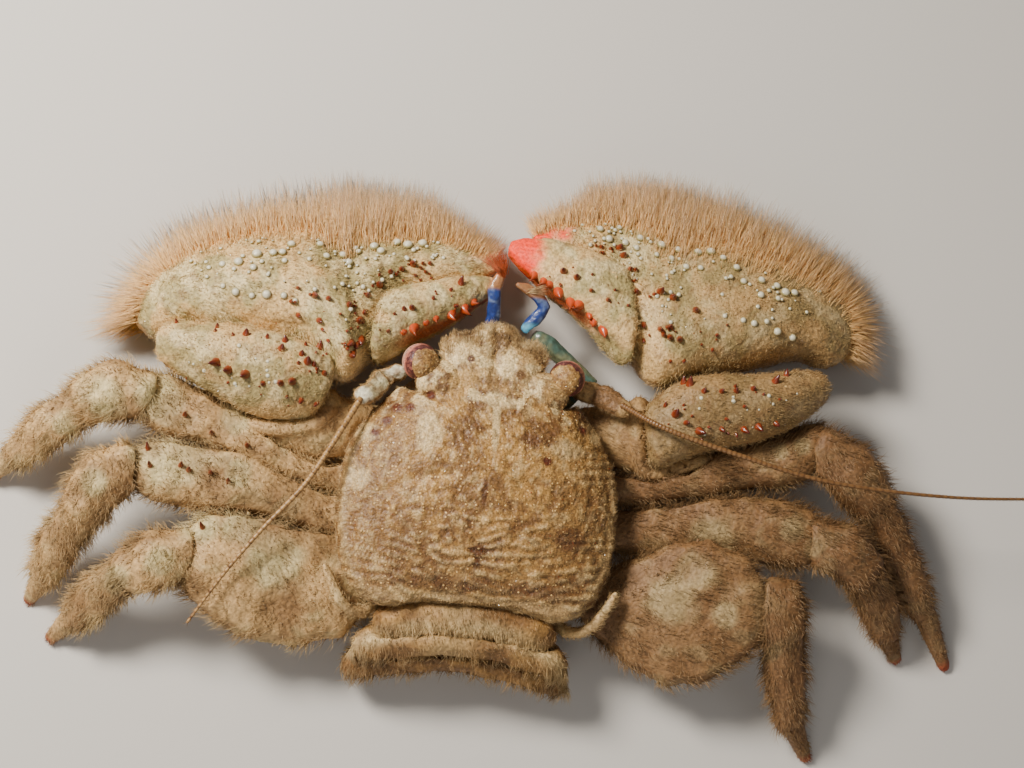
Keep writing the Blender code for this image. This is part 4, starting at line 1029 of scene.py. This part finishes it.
def shield_coat(skin):
    """A short bristly coat: setae along the cross ridges and rim, and soft fuzz on the front lobes."""
    y = skin.points[:, 1]
    outward = unit(skin.points - (0.0, 0.3, 5.0))
    skin.lie = unit(outward * (1, 1, 0) + np.array((0.0, -0.35, 0.0)))
    upper = skin.top * (skin.normals[:, 2] > -0.2)
    front = upper * (1 - ramp(y, -7.2, -5.4)) * ramp(skin.share, 0.8, 0.95)
    rim = ramp(skin.share, 0.9, 0.97) * (skin.points[:, 2] > 4.8)
    tufts = 0.1 + noise(skin.points, 0.7, seed=41) ** 2 + 1.5 * cross_ridges(skin.points)
    top = upper * tufts * ramp(y, -7.0, -4.0)
    groups = [
        strands(skin, HAIRS["shield"], keep=top, tip=GLINT, tint=0.3, clump=0.3),
        strands(skin, HAIRS["shield_front"], keep=front, tip=GLINT, tint=0.25, spread=0.45, clump=0.3),
        strands(skin, HAIRS["shield_rim"], keep=rim, tip=FELT, tint=0.4, clump=0.3),
    ]
    return coat("shield_setae", groups, "felt", "shell")


def claw_colours(points, bareness=0.0):
    """Greenish shell that shows through beige felt in soft patches, more so where bareness is higher."""
    bare = ramp(fractal(points, 1.7, 3, seed=21) + bareness, 0.42, 0.58)
    colour = mix(CLAW_FELT, GREEN_SHELL, 0.85 * bare)
    colour = mix(colour, PALE_SHELL, (0.35 + 0.6 * bare) * clouds(points, 0.9, 0.49, 0.62, 22))
    return mix(colour, FELT_DARK, 0.55 * clouds(points, 0.4, 0.55, 0.75, 23))


def claw_tips(points, colour, t, start):
    """Vermilion finger tips."""
    return mix(colour, VERMILION, ramp(t + lumps(points, 0.12, 0.7, 25, 2), start, start + 0.12))


def row_places(rows, seed):
    """Kind, place along, angle and radius of each tubercle of some rows."""
    rng = np.random.default_rng(seed)
    for kind, count, radius, line in rows:
        share = np.arange(count) / max(count - 1, 1) + rng.uniform(-0.3, 0.3, count) / count
        t, degrees = curve(np.array(line), share).T
        angle = np.radians(degrees + rng.uniform(-4, 4, count))
        yield kind, t, angle, radius * rng.uniform(0.65, 1.2, count)


def limb_studs(limb, rows, small, seed):
    """Pearly and horny tubercles of one segment, as parts for each of the two materials."""
    rng = np.random.default_rng(seed)
    made = {"pearl": [], "stud": []}
    places = list(row_places(rows, seed))
    for kind, count, radius, along, around in small:
        t = rng.uniform(*along, count)
        angle = np.radians(rng.uniform(*around, count))
        places.append((kind, t, angle, radius * rng.uniform(0.5, 1.2, count)))
    for kind, t, angle, radius in places:
        feet, normals = limb.point(t, angle), limb.normal(t, angle)
        leans = limb.axes(t)[2] * 0.25 + rng.normal(0.0, 0.1, feet.shape)
        material, lean, width, height, base, tip = TUBERCLES[kind]
        sizes = radius * width, radius * height
        made[material].append(studs(kind, feet, normals, leans * lean, *sizes, base, tip))
    return made


def make_palm(side):
    limb = Limb(PALM_EDGES[side], side, ends=(0.06, 0.04))
    rows, columns = ((150, 104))
    skin = limb_skin(limb, rows, columns, floor=0.0)
    relief = lumps(skin.points, 0.22, 1.4, 26) + lumps(skin.points, 0.1, 0.3, 27, 1)
    resting = skin.points[:, 2] < 0.05
    skin.emboss(np.where(resting, 0.0, relief - 0.08))
    skin.points[:, 2] = np.maximum(skin.points[:, 2], 0.0)
    colour = claw_colours(skin.points, 0.14 * bell(skin.degrees, 100, 30) - 0.03)
    # The skin under the fringe takes the fringe's root colour: partly the hairs' own colour, partly
    # painted light so the gaps between hairs don't show dark.
    edge = np.minimum(skin.degrees, 360 - skin.degrees)
    colour = mix(colour, FRINGE_ROOT, 1 - ramp(edge, 55, 75))
    below = (skin.degrees > 190) & (skin.degrees < 340)
    colour = mix(colour, UNDERSIDE, 0.6 * below)
    # The right palm is painted darker towards its rear: painted shade.
    if side == RIGHT:
        colour = mix(colour, FELT_DARK, 0.5 * (1 - ramp(skin.t, 0.2, 0.75)))
    skin.colours = claw_tips(skin.points, colour, skin.t, PALM_GLOW[side])
    node = f"palm_{WORDS[side]}"
    node_object(node, skin, "claw", "claw_shell")
    return skin


def make_wrist_and_finger(side):
    """The wrist and the movable finger of a claw, each with its limb on its skin."""
    word = WORDS[side]
    wrist = limb_skin(Limb(WRIST_EDGES[side], side, ends=(0.1, 0.1)), 90, 78)
    finger = limb_skin(Limb(FINGER_EDGES[side], side), 90, 66)
    for skin, bareness in ((wrist, 0.16), (finger, 0.04)):
        skin.emboss(lumps(skin.points, 0.16, 1.2, 28) + lumps(skin.points, 0.08, 0.25, 29, 1) + 0.02)
        skin.colours = claw_colours(skin.points, bareness * (bell(skin.degrees, 85, 35) - 0.3))
    # The wrist is darkened a little on the left and strongly on the right; the strong darkening on the
    # right is painted shade.
    wrist.colours = mix(wrist.colours, FELT_DARK, 0.7 if side == RIGHT else 0.15)
    finger.colours = claw_tips(finger.points, finger.colours, finger.t, FINGER_GLOW[side])
    cutting = (1 - ramp(np.abs(finger.degrees - 180), 8, 26)) * ramp(finger.t, 0.2, 0.45)
    finger.colours = mix(finger.colours, mix(ORANGE, RED_BROWN, 0.5), 0.85 * cutting)
    for part, skin in (("wrist", wrist), ("finger", finger)):
        node = f"{part}_{word}"
        node_object(node, skin, "claw", "claw_shell")
    return wrist, finger


def fringe_way(limb, t):
    """The direction of the fringe: square to the front edge, turning outwards at its two ends."""
    side, _, along = limb.axes(t)
    turn = np.radians(25 * ramp(t, 0.85, 1.0) - 65 * (1 - ramp(t, 0.0, 0.16)))[:, None]
    return unit(unit(side) * np.cos(turn) + along * np.sin(turn))


def fringe_reach(side, t, degrees):
    """Reach of the fringe, shorter at both ends of the claw and towards its top and underside."""
    along = (1 - 0.55 * ramp(t, 0.78, 1.02)) * (0.78 + 0.22 * ramp(t, 0.0, 0.16))
    around = (1 - 0.4 * ramp(np.abs(degrees), 8, 68)) * (1 - 0.5 * ramp(degrees, 60, 86))
    return FRINGE_REACH[side] * along * around


def fringe_coat(side, skin):
    """The thick brush of hairs along the front of a claw: a plush undercoat and longer, thinner hairs."""
    rng = np.random.default_rng(60 + side)
    groups = []
    for count, low, high, stations, radius, tint, gather, stray in FRINGE_HAIRS:
        number = int(count * DENSITY)
        t = rng.uniform(0.0, 0.985, number)
        degrees = rng.triangular(-55, 20, 88, number)
        root = skin.limb.point(t, np.radians(degrees), -0.08)
        root[:, 2] = np.maximum(root[:, 2], 0.1)
        reach = (fringe_reach(side, t, degrees) * rng.uniform(low, high, number))[:, None]
        lump = noise(np.stack([t * 60, degrees * 0.05, t * 0], 1), 1.0, seed=61)[:, None]
        drawn = gather * (lump - 0.5) * skin.limb.axes(t)[2]
        lift = np.array((0.0, 0.0, 1.0)) * (0.10 + 0.38 * ramp(degrees, 0, 60))[:, None]
        way = unit(fringe_way(skin.limb, t) + lift + drawn + rng.normal(0.0, stray, (number, 3)))
        room = (root[:, 1] - FRINGE_LIMIT) / np.maximum(-way[:, 1], 0.2) * rng.uniform(0.88, 1.0, number)
        reach = np.minimum(reach, np.maximum(room, 0.5)[:, None])
        droop = np.array((0.0, 0.0, -0.10)) + rng.normal(0.0, 0.08, (number, 3)) * (1, 0, 1)
        colour = mix(FRINGE_ROOT, CLAW_FELT, rng.random(number) * 0.6)
        colour = mix(colour, FELT_DARK, 0.2 * (1 - ramp(degrees, -50, -10)))
        groups.append({
            "path": [root] + [root + way * reach * s + droop * reach * s * s for s in stations],
            "radius": radius * rng.uniform(0.8, 1.3, number),
            "root": colour, "tip": mix(colour, FRINGE_TIP, tint),
            "unwrap": np.stack([t, (degrees % 360) / 360], 1) * 0.98 + 0.01,
        })
    return coat(f"fringe_{WORDS[side]}", groups, "fringe", "claw_shell")


def claw_felt(side, palm, wrist, finger):
    """Felt of a claw in patches, with longer hairs along the seams between its segments."""
    word = WORDS[side]
    patchy = [0.4 + clouds(skin.points, 1.4, 0.35, 0.65, 43, 2) for skin in (palm, wrist, finger)]
    upper = (palm.degrees > 60) & (palm.degrees < 200)
    lower = ((palm.degrees >= 200) | (palm.degrees < 5)) * (palm.points[:, 2] > 0.1)
    neighbours = np.concatenate([finger.points[finger.t < 0.45], wrist.points])[::3]
    seam = closeness(palm.points, neighbours, 0.9) * (palm.points[:, 2] > 1.5)
    finger_seam = (1 - ramp(finger.t, 0.05, 0.25)) * (finger.points[:, 2] > 3.5)
    bare_tip = 1 - ramp(finger.t, FINGER_GLOW[side] - 0.1, FINGER_GLOW[side])
    look = {"tip": CLAW_FELT, "clump": 0.35}
    palm_groups = [
        strands(palm, HAIRS["palm"], keep=patchy[0] * upper, **look),
        strands(palm, HAIRS["palm_under"], keep=lower, **look),
        strands(palm, HAIRS["palm_seam"], keep=seam, spread=0.5, **look),
    ]
    coat(f"claw_felt_{word}", palm_groups, "felt", "claw_shell")
    wrist_groups = [
        strands(wrist, HAIRS["wrist"], keep=patchy[1], **look),
        strands(finger, HAIRS["finger"], keep=patchy[2] * bare_tip, **look),
        strands(finger, HAIRS["finger_seam"], keep=finger_seam, spread=0.5, **look),
    ]
    coat(f"wrist_felt_{word}", wrist_groups, "felt", "claw_shell")
    grains(f"claw_grit_{word}", palm, 1500, 0.036, 80 + side, "claw_shell", keep=upper)
    grains(f"wrist_grit_{word}", wrist, 450, 0.04, 82 + side, "claw_shell")


def make_claw(side):
    """One claw with its tubercles, fringe and felt. Returns the skin of its wrist."""
    palm = make_palm(side)
    wrist, finger = make_wrist_and_finger(side)
    made = [
        limb_studs(palm.limb, PALM_ROWS[side], SMALL_TUBERCLES["palm"], 70 + side),
        limb_studs(wrist.limb, WRIST_ROWS[side], SMALL_TUBERCLES["wrist"], 72 + side),
        limb_studs(finger.limb, FINGER_ROWS[side], SMALL_TUBERCLES["finger"], 74 + side),
    ]
    for kind in ("pearl", "stud"):
        parts = joined([part for segment in made for part in segment[kind]])
        mesh_object(f"{kind}s_{WORDS[side]}", *parts, kind, "claw_shell")
    fringe_coat(side, palm)
    claw_felt(side, palm, wrist, finger)
    return wrist


def leg_colours(points, patches=(), painted_shade=0.0):
    """Beige felt with whitish green patches and darker hollows, all darker by the painted shade given."""
    dark = painted_shade + (0.65 - 0.65 * painted_shade) * clouds(points, 1.3, 0.45, 0.66, 31)
    places = [(x, y, radius, radius, 0.9) for x, y, radius in patches]
    pale = np.maximum(0.4 * clouds(points, 1.0, 0.52, 0.7, 32), marks(points, places))
    shell = mix(PALE_SHELL, GREEN_SHELL, 0.8 * noise(points, 0.6, seed=33))
    return mix(mix(FELT, FELT_DARK, dark), shell, pale * (1 - 0.5 * painted_shade))


def leg_spines(skin, places):
    """Small horny spines on top of a leg part, at those places that lie on it."""
    made = []
    for x, y in places:
        near = np.flatnonzero(np.hypot(skin.points[:, 0] - x, skin.points[:, 1] - y) < 0.25)
        if len(near):
            top = near[skin.points[near, 2].argmax()]
            foot = skin.points[top][None]
            normal = unit(skin.normals[top] + (0.0, -0.3, 0.0))[None]
            sizes = np.array((0.15,)), np.array((0.6,))
            made.append(studs("red", foot, normal, normal * 0, *sizes, RED_BROWN, RED_TIP))
    return made


def leg_look(skin, side, number, part):
    """Folds and colours of one leg part."""
    foot = part == "foot"
    folds = fractal(skin.points * (1.0, 1.0, 0.4), 2.2, 2, seed=34) - 0.8
    folds = folds + 0.6 * fractal(skin.points, 0.9, 2, seed=35)
    skin.emboss(0.4 * folds * (not foot))
    skin.points[:, 2] = np.maximum(skin.points[:, 2], 0.0)
    # The right legs are painted darker all over: painted shade, as the light falls off towards them.
    painted_shade = 0.8 if side == RIGHT else 0.0
    colour = leg_colours(skin.points, LEG_PATCHES[side, number], painted_shade)
    colour = mix(colour, FELT_DARK, 0.5 * (1 - ramp(folds, -0.22, 0.0)))
    # The right legs are painted browner still, less so on the thigh: more painted shade.
    if side == RIGHT:
        colour = mix(colour, BROWN, 0.25 if part == "thigh" else 0.5)
    if foot:
        colour = mix(colour, RED_BROWN, ramp(skin.share, 0.8, 0.95))
    skin.colours = colour


def make_leg(side, number):
    """Thigh, knee, shin and foot of one walking leg, in one coat of felt. Right legs get painted shade.
    """
    word = f"{WORDS[side]}_{number}"
    # On the right legs the hair tips are painted darker too: painted shade.
    look = {"tip": SAND if side == RIGHT else WHITISH, "spread": 0.45}
    groups, spines = [], []
    for part, (count, inset) in LEG_PARTS.items():
        node, foot = f"{part}_{word}", part == "foot"
        voxel, rounds, reach = FOOT_SKIN if foot else LEG_SKIN
        skin = node_skin(node, voxel, rounds, inset=inset, reach=reach)
        leg_look(skin, side, number, part)
        node_object(node, skin, "leg", "leg_shell")
        spines += leg_spines(skin, LEG_SPINES.get((side, number), ()))
        tufts = 0.35 + clouds(skin.points, 0.9, 0.35, 0.65, 44, 2)
        felt = (count, 0.3 if foot else 0.62, 0.022, 55, 10 * number + len(groups))
        groups.append(strands(skin, felt, keep=tufts, tint=0.25, clump=0.35, **look))
        if not foot:
            edge = np.abs(skin.normals[:, 2]) < 0.5
            long = (count * 0.34, 1.05, 0.017, 60, 100 + 10 * number + len(groups))
            groups.append(strands(skin, long, keep=edge * tufts, tint=0.45, clump=0.3, **look))
    if spines:
        mesh_object(f"leg_spines_{word}", *joined(spines), "stud", "leg_shell")
    return coat(f"leg_felt_{word}", groups, "felt", "leg_shell")


def make_arm_and_small_leg(side, wrist):
    """The arm that carries a claw, drawn out to the wrist, and the small last leg, in one coat."""
    word = WORDS[side]
    arm = node_skin(f"arm_{word}", voxel=0.2, rounds=9, reach=0.7)
    arm.emboss(lumps(arm.points, 0.12, 1.0, 36) + 0.35 * closeness(arm.points, wrist.points[::2], 1.1))
    # The arm is darkened a little on the left and more on the right; the extra darkening on the right is
    # painted shade.
    arm.colours = mix(leg_colours(arm.points), FELT_DARK, 0.35 if side == RIGHT else 0.1)
    node_object(f"arm_{word}", arm, "leg", "claw_shell")
    small = node_skin(f"small_leg_{word}", voxel=0.1, rounds=3, inset=0.05)
    small.colours = mix(leg_colours(small.points), WHITISH, 0.3)
    node_object(f"small_leg_{word}", small, "leg", "leg_shell")
    groups = [
        strands(arm, HAIRS["arm"], tip=FELT, tint=0.4, clump=0.35),
        strands(small, HAIRS["small_leg"], tip=WHITISH),
    ]
    coat(f"arm_felt_{word}", groups, "felt", "leg_shell")


def tail_band(points):
    """1 along the pale, setose arch across the folded tail's plates, 0 away from it."""
    x = points[:, 0]
    arch = 8.4 + np.where(x > 0, 0.037, 0.053) * x * x
    return bell(points[:, 1] + lumps(points, 0.5, 1.0, 64, 2), arch, 0.5)


def make_tail():
    """The six plates of the folded tail. The first three overlap like tiles and have coats."""
    groups = []
    for number in range(1, 7):
        node, upper = f"abdomen_{number}", number < 4
        lie = np.array((0.0, 1.0 if upper else -1.0, -0.2))
        skin = node_skin(node, voxel=0.15, rounds=5, inset=0.0, lie=lie)
        folds = fractal(skin.points * (0.6, 1.0, 1.0), 0.9, 3, seed=37) - 0.5
        share = (skin.points[:, 1] - skin.points[:, 1].min()) / np.ptp(skin.points[:, 1])
        if upper:
            skin.points[:, 1] += 0.5 * (share - 0.5) - (0.4 if number == 1 else 0.0) * (1 - share)
            skin.points[:, 2] -= 0.25 * ramp(share, 0.5, 1.0)
        skin.emboss(0.45 * folds)
        band = tail_band(skin.points) if upper else 0.6
        middle = bell(skin.points[:, 0], 1.0, 1.6) * (number < 3)
        colour = mix(BROWN, SAND, 0.3 + 0.5 * ramp(folds, -0.1, 0.15))
        colour = mix(colour, WHITISH, np.maximum(0.9 * band, 0.4 * middle))
        skin.colours = mix(colour, FELT_DARK, 0.5 * clouds(skin.points, 0.5, 0.5, 0.7, 38))
        node_object(node, skin, "leg", "underside")
        if upper:
            count, length, radius, rise, seed = HAIRS["tail"]
            hair = (count, length, radius, rise, seed + number)
            keep = (0.3 + band) * (skin.normals[:, 2] > -0.6)
            groups.append(strands(skin, hair, keep=keep, tip=WHITISH, tint=0.2, spread=0.5, clump=0.4))
            count, length, radius, rise, seed = HAIRS["tail_edge"]
            hair = (count, length, radius, rise, seed + number)
            keep = ramp(share, 0.6, 0.8) * (skin.normals[:, 2] > -0.3) * (0.3 + band)
            groups.append(strands(skin, hair, keep=keep, tip=WHITISH, tint=0.35, spread=0.35, clump=0.6))
    coat("abdomen_felt", groups, "felt", "underside")


def make_trunk():
    """The hidden pieces under the shield and the tail."""
    for node, voxel in TRUNK.items():
        skin = node_skin(node, voxel=voxel, rounds=6, inset=0.03)
        skin.emboss(lumps(skin.points, 0.08, 0.9, 39))
        skin.colours = mix(UNDERSIDE, FELT_DARK, 0.5 * clouds(skin.points, 1.2, 0.45, 0.7, 40))
        node_object(node, skin, "leg", "underside")


def eye_ball(centre, axis):
    """A glossy ball with a plum band, a salmon rim and a pale edge."""
    ball = ball_skin(centre, axis, np.linspace(0.02, math.pi - 0.35, 40), np.full(40, EYE_RADIUS - 0.02))
    ragged = ball.angle + lumps(ball.points, 7, 0.35, 45)
    colour = mix(PLUM, SALMON, ramp(ragged, 76, 86))
    colour = mix(colour, PEARL, 0.4 * ramp(ragged, 90, 97))
    colour = mix(colour, PLUM, 0.6 * clouds(ball.points, 0.07, 0.45, 0.7, 47, 1))
    ball.colours = mix(colour, SALMON, 0.5 * clouds(ball.points, 0.1, 0.6, 0.85, 65, 1))
    return ball


def eye_cap(centre, axis):
    """The granular end of the stalk that caps the ball, with a ragged edge."""
    polar = np.radians(np.append(np.linspace(1.0, CAP_EDGE, 34), (CAP_EDGE, CAP_EDGE - 2)))
    cap = ball_skin(centre, axis, polar, np.append(np.full(34, EYE_RADIUS), (EYE_RADIUS - 0.1, 0.6)))
    ragged = cap.angle + lumps(cap.points, 26, 0.3, 46)
    cap.emboss(0.03 - 0.12 * ramp(ragged, 53, 64) + lumps(cap.points, 0.07, 0.16, 51, 2))
    colour = mix(SAND, FELT_DARK, 0.35 + 0.5 * clouds(cap.points, 0.3, 0.4, 0.6, 48))
    cap.colours = mix(colour, WHITISH, 0.4 * clouds(cap.points, 0.3, 0.5, 0.8, 50, 1))
    return cap


def eye_lobe(side):
    """The broad granular lobe of the stalk between the eye and the front, marked as the shield is."""
    heart = np.array(EYE_LOBE) * (side, 1, 1)
    lobe = ball_skin(heart, np.array((0.0, 0.0, 1.0)), np.linspace(0.03, math.pi - 0.03, 40), np.ones(40))
    lobe.points = heart + (lobe.points - heart) * EYE_LOBE_SIZE
    lobe.emboss(lumps(lobe.points, 0.14, 0.4, 52))
    lobe.colours = shield_colours(lobe.points, np.zeros(len(lobe.points)))
    return lobe


def make_eye(side):
    """A ball that looks forwards and up, capped on its inner and rear side by its stalk's end."""
    word = WORDS[side]
    centre = np.array(EYE_CENTRE) * (side, 1, 1)
    axis = unit(np.array((-0.42 * side, 0.34, 0.95)))
    skin_object(f"eye_{word}_ball", eye_ball(centre, axis), "eye", "eye")
    cap, lobe = eye_cap(centre, axis), eye_lobe(side)
    made = joined([(skin.points, skin.triangles, skin.colours) for skin in (cap, lobe)])
    mesh_object(f"eye_{word}_cap", *made, "shell", "eye")
    grains(f"eye_{word}_granules", cap, 320, 0.03, 95 + side, "eye", keep=cap.angle < 50)
    upper = lobe.normals[:, 2] > -0.1
    fuzz = strands(lobe, HAIRS["eye_lobe"], keep=upper, tip=GLINT, tint=0.4, spread=0.45, clump=0.3)
    coat(f"eye_{word}_fuzz", [fuzz], "felt", "eye")
    stalk = limb_skin(Limb(EYE_NECK, side), 30, 40)
    stalk.colours = mix(FELT, FELT_DARK, noise(stalk.points, 0.4, seed=49))
    skin_object(f"eye_{word}_stalk", stalk, "leg", "eye", f"eye_{word}")


def make_feeler(side):
    """The whip of short rings, darker towards each ring's end, with dark bristles at each ring."""
    word = WORDS[side]
    path = np.array(FEELER_PATH[side], float) * (side, 1, 1)
    length = np.linalg.norm(np.diff(path, axis=0), axis=1).sum()
    articles = int(length / FEELER_RING)
    rows = articles * FEELER_ROWS
    t = np.linspace(0.0, 1.0, rows)
    place = curve(path, t)
    along = unit(np.gradient(place, axis=0))
    across = unit(np.cross(along, (0.0, 0.0, 1.0)))
    over = np.cross(across, along)
    phase = (t * articles) % 1.0
    swell = 0.86 + 0.2 * ramp(phase, 0.05, 0.8) * (1 - ramp(phase, 0.86, 1.0))
    turn = np.linspace(0.0, 2 * math.pi, FEELER_SIDES, endpoint=False)
    ring = across[:, None] * np.cos(turn)[None, :, None] + over[:, None] * np.sin(turn)[None, :, None]
    skin = grid_skin(place[:, None] + ring * ((0.19 - 0.11 * t) * swell)[:, None, None])
    band = ((np.arange(rows) // FEELER_ROWS) % BAND_STEP == 0) * 0.35
    shade = np.clip(0.75 * ramp(phase, 0.62, 0.85) + band, 0, 1)
    shade = np.append(np.repeat(shade, FEELER_SIDES), (0.0, 0.0))
    base, strength = (CLEAR_HORN, 1.0) if side == LEFT else (FELT_DARK, 0.7)
    skin.colours = mix(base, BROWN, shade * strength)
    skin_object(f"feeler_{word}_whip", skin, "feeler", "feeler", f"feeler_{word}")
    number = articles * 4
    spot_t = (np.repeat(np.arange(articles), 4) + 0.85) / articles
    root = curve(path, spot_t)
    index = np.minimum((spot_t * (rows - 1)).astype(int), rows - 1)
    sign = np.tile((1.0, -1.0, 1.0, -1.0), articles)[:, None]
    height = np.tile((0.4, 0.4, -0.4, -0.4), articles)[:, None]
    way = unit(along[index] * 1.3 + across[index] * sign * 0.8 + over[index] * height)
    group = {
        "path": [root + way * BRISTLE * s for s in (0.2, 0.5, 0.8, 1.3)],
        "radius": np.full(number, 0.016),
        "root": np.tile(BROWN, (number, 1)), "tip": np.tile(FELT_DARK, (number, 1)),
        "unwrap": np.stack([spot_t, (sign[:, 0] + 1) / 2], 1) * 0.98 + 0.01,
    }
    coat(f"feeler_{word}_bristles", [group], "felt", "feeler")


def make_feeler_base(side):
    """The base of a long feeler: a pale, lumpy plate on the left, brown and felted on the right."""
    node = f"feeler_base_{WORDS[side]}"
    base = node_skin(node, voxel=0.09, rounds=3, inset=0.05)
    base.emboss(lumps(base.points, 0.16, 0.45, 55))
    if side == LEFT:
        base.emboss(0.5 * (fractal(base.points, 0.9, 2, seed=68) - 0.55))
    base.emboss(np.where(np.abs(base.share - 0.4) < 0.03, -0.06, 0.0))
    middle = ramp(base.share, 0.3, 0.42) * (1 - ramp(base.share, 0.78, 0.88))
    if side == LEFT:
        colour = mix(PEARL, GREEN_SHELL, 0.2 + 0.5 * middle)
        colour = mix(colour, SAND, 0.85 * (1 - ramp(base.normals[:, 2], 0.45, 0.85)))
    else:
        colour = mix(FELT, FELT_DARK, middle)
    base.colours = mix(colour, FELT_DARK, 0.6 * clouds(base.points, 0.4, 0.45, 0.65, 56))
    node_object(node, base, "claw", "feeler")
    fuzz = strands(base, HAIRS["feeler_base"], keep=0.3 + middle, tip=WHITISH, tint=0.3, spread=0.4)
    coat(f"{node}_fuzz", [fuzz], "felt", "feeler")


def make_mouth(side):
    """Inner feeler, mouth plate and mouth palp of one side. Returns the skin of the palp."""
    word = WORDS[side]
    inner = node_skin(f"inner_feeler_{word}", voxel=0.07, rounds=3, inset=0.02)
    inner.colours = mix(CLEAR_HORN, FELT_DARK, noise(inner.points, 0.4, seed=57))
    node_object(f"inner_feeler_{word}", inner, "feeler", "feeler")
    plate = node_skin(f"mouth_plate_{word}", voxel=0.1, rounds=4, inset=0.03)
    plate.emboss(lumps(plate.points, 0.08, 0.6, 54))
    plate.colours = mix(TEAL, GREEN_SHELL, 0.4 * clouds(plate.points, 0.8, 0.4, 0.65, 58))
    node_object(f"mouth_plate_{word}", plate, "mouth", "mouth")
    palp = node_skin(f"mouth_palp_{word}", voxel=0.08, rounds=3, inset=0.03)
    palp.emboss(lumps(palp.points, 0.06, 0.3, 62, 2))
    forward = -palp.points[:, 1]
    colour = mix(COBALT, PALE_BLUE, 0.6 * clouds(palp.points, 0.35, 0.5, 0.68, 59, 2))
    if side == LEFT:
        colour = mix(colour, HORN_BROWN, ramp(forward, 10.9, 11.1))
        colour = mix(colour, ORANGE, 0.6 * ramp(forward, 11.6, 12.0))
    else:
        colour = mix(colour, CYAN, 1 - ramp(forward, 9.3, 9.6))
        colour = mix(colour, HORN_BROWN, ramp(forward, 10.75, 10.95))
    palp.colours = colour
    node_object(f"mouth_palp_{word}", palp, "mouth", "mouth")
    return palp


def mouth_fan(side, palp):
    """The fan of long combing hairs at the end of the palp."""
    rng = np.random.default_rng(90 + side)
    number, low, high, base, share = FAN[side]
    tip = palp.points[palp.points[:, 1].argmin()]
    swing = rng.uniform(low, high, number)
    way = unit(np.stack([np.sin(swing), -np.cos(swing), rng.uniform(0.2, 0.45, number)], 1))
    size = rng.uniform(1.5, 1.8, number)[:, None] * share
    root = tip + np.array((0.0, 0.45, 0.1)) + rng.normal(0.0, 0.08, (number, 3))
    bow = np.array((0.1, 0.1, -0.1)) * side
    group = {
        "path": [root + way * size * s + bow * size * s * s for s in (0.0, 0.35, 0.7, 1.0)],
        "radius": np.full(number, 0.017),
        "root": np.tile(base, (number, 1)), "tip": np.tile(mix(base, RED_BROWN, 0.8), (number, 1)),
        "unwrap": rng.random((number, 2)) * 0.98 + 0.01,
    }
    coat(f"mouth_fan_{WORDS[side]}", [group], "fringe", "mouth")


def make_camera():
    back = np.array((math.sin(math.radians(CAMERA_SIDE)), math.cos(math.radians(CAMERA_ELEVATION)), 0.0))
    back[2] = math.sqrt(1 - back @ back)
    forward = np.array((0.0, -1.0, 0.0))
    up = unit(forward - back * (forward @ back))
    right = np.cross(up, back)
    c, s = math.cos(math.radians(CAMERA_ROLL)), math.sin(math.radians(CAMERA_ROLL))
    right, up = c * right + s * up, c * up - s * right
    dx, dy = TARGET_PIXEL[0] - PICTURE[0] / 2, TARGET_PIXEL[1] - PICTURE[1] / 2
    place = np.array(TARGET) + back * CAMERA_DISTANCE - right * dx * PIXEL_SIZE + up * dy * PIXEL_SIZE
    data = bpy.data.cameras.new("camera")
    data.sensor_width = SENSOR
    data.lens = CAMERA_DISTANCE / PIXEL_SIZE * SENSOR / PICTURE[0]
    data.clip_start, data.clip_end = 0.001, 10.0
    camera = bpy.data.objects.new("camera", data)
    turn = Matrix((right, up, back)).transposed().to_4x4()
    camera.matrix_world = Matrix.Translation(Vector((place + OFFSET) * MM)) @ turn
    bpy.context.scene.collection.objects.link(camera)
    bpy.context.scene.camera = camera


def area_light(name, place, size, power, colour):
    """A round soft light that points to the middle of the crab."""
    data = bpy.data.lights.new(name, "AREA")
    data.shape, data.size, data.energy, data.color = "DISK", size, power, colour
    light = bpy.data.objects.new(name, data)
    light.location = place
    light.rotation_euler = (-Vector(place)).to_track_quat("-Z", "Y").to_euler()
    bpy.context.scene.collection.objects.link(light)


def make_studio():
    for name, look in LIGHTS.items():
        area_light(name, *look)
    world = bpy.data.worlds.new("world")
    bpy.context.scene.world = world
    world.use_nodes = True
    sky = world.node_tree.nodes["Background"].inputs
    sky["Color"].default_value = SKY
    sky["Strength"].default_value = SKY_STRENGTH
    bpy.ops.mesh.primitive_plane_add(size=2.0, location=(0.0, 0.0, FLOOR_DEPTH))
    floor = bpy.context.object
    floor.name = "floor"
    material = bpy.data.materials.new("pale_floor")
    material.use_nodes = True
    look = material.node_tree.nodes["Principled BSDF"].inputs
    look["Base Color"].default_value = FLOOR_COLOUR
    look["Roughness"].default_value = 0.8
    floor.data.materials.append(material)


def main():
    make_camera()
    make_studio()
    shield = make_shield()
    shield_coat(shield)
    grains("shield_grit", shield, 8000, 0.031, 79, "shell", keep=shield.top)
    wrists = {}
    for side in (LEFT, RIGHT):
        wrists[side] = make_claw(side)
        make_eye(side)
        make_feeler(side)
        make_feeler_base(side)
        mouth_fan(side, make_mouth(side))
        for number in (1, 2, 3):
            make_leg(side, number)
    for side in (LEFT, RIGHT):
        make_arm_and_small_leg(side, wrists[side])
    make_tail()
    make_trunk()


main()
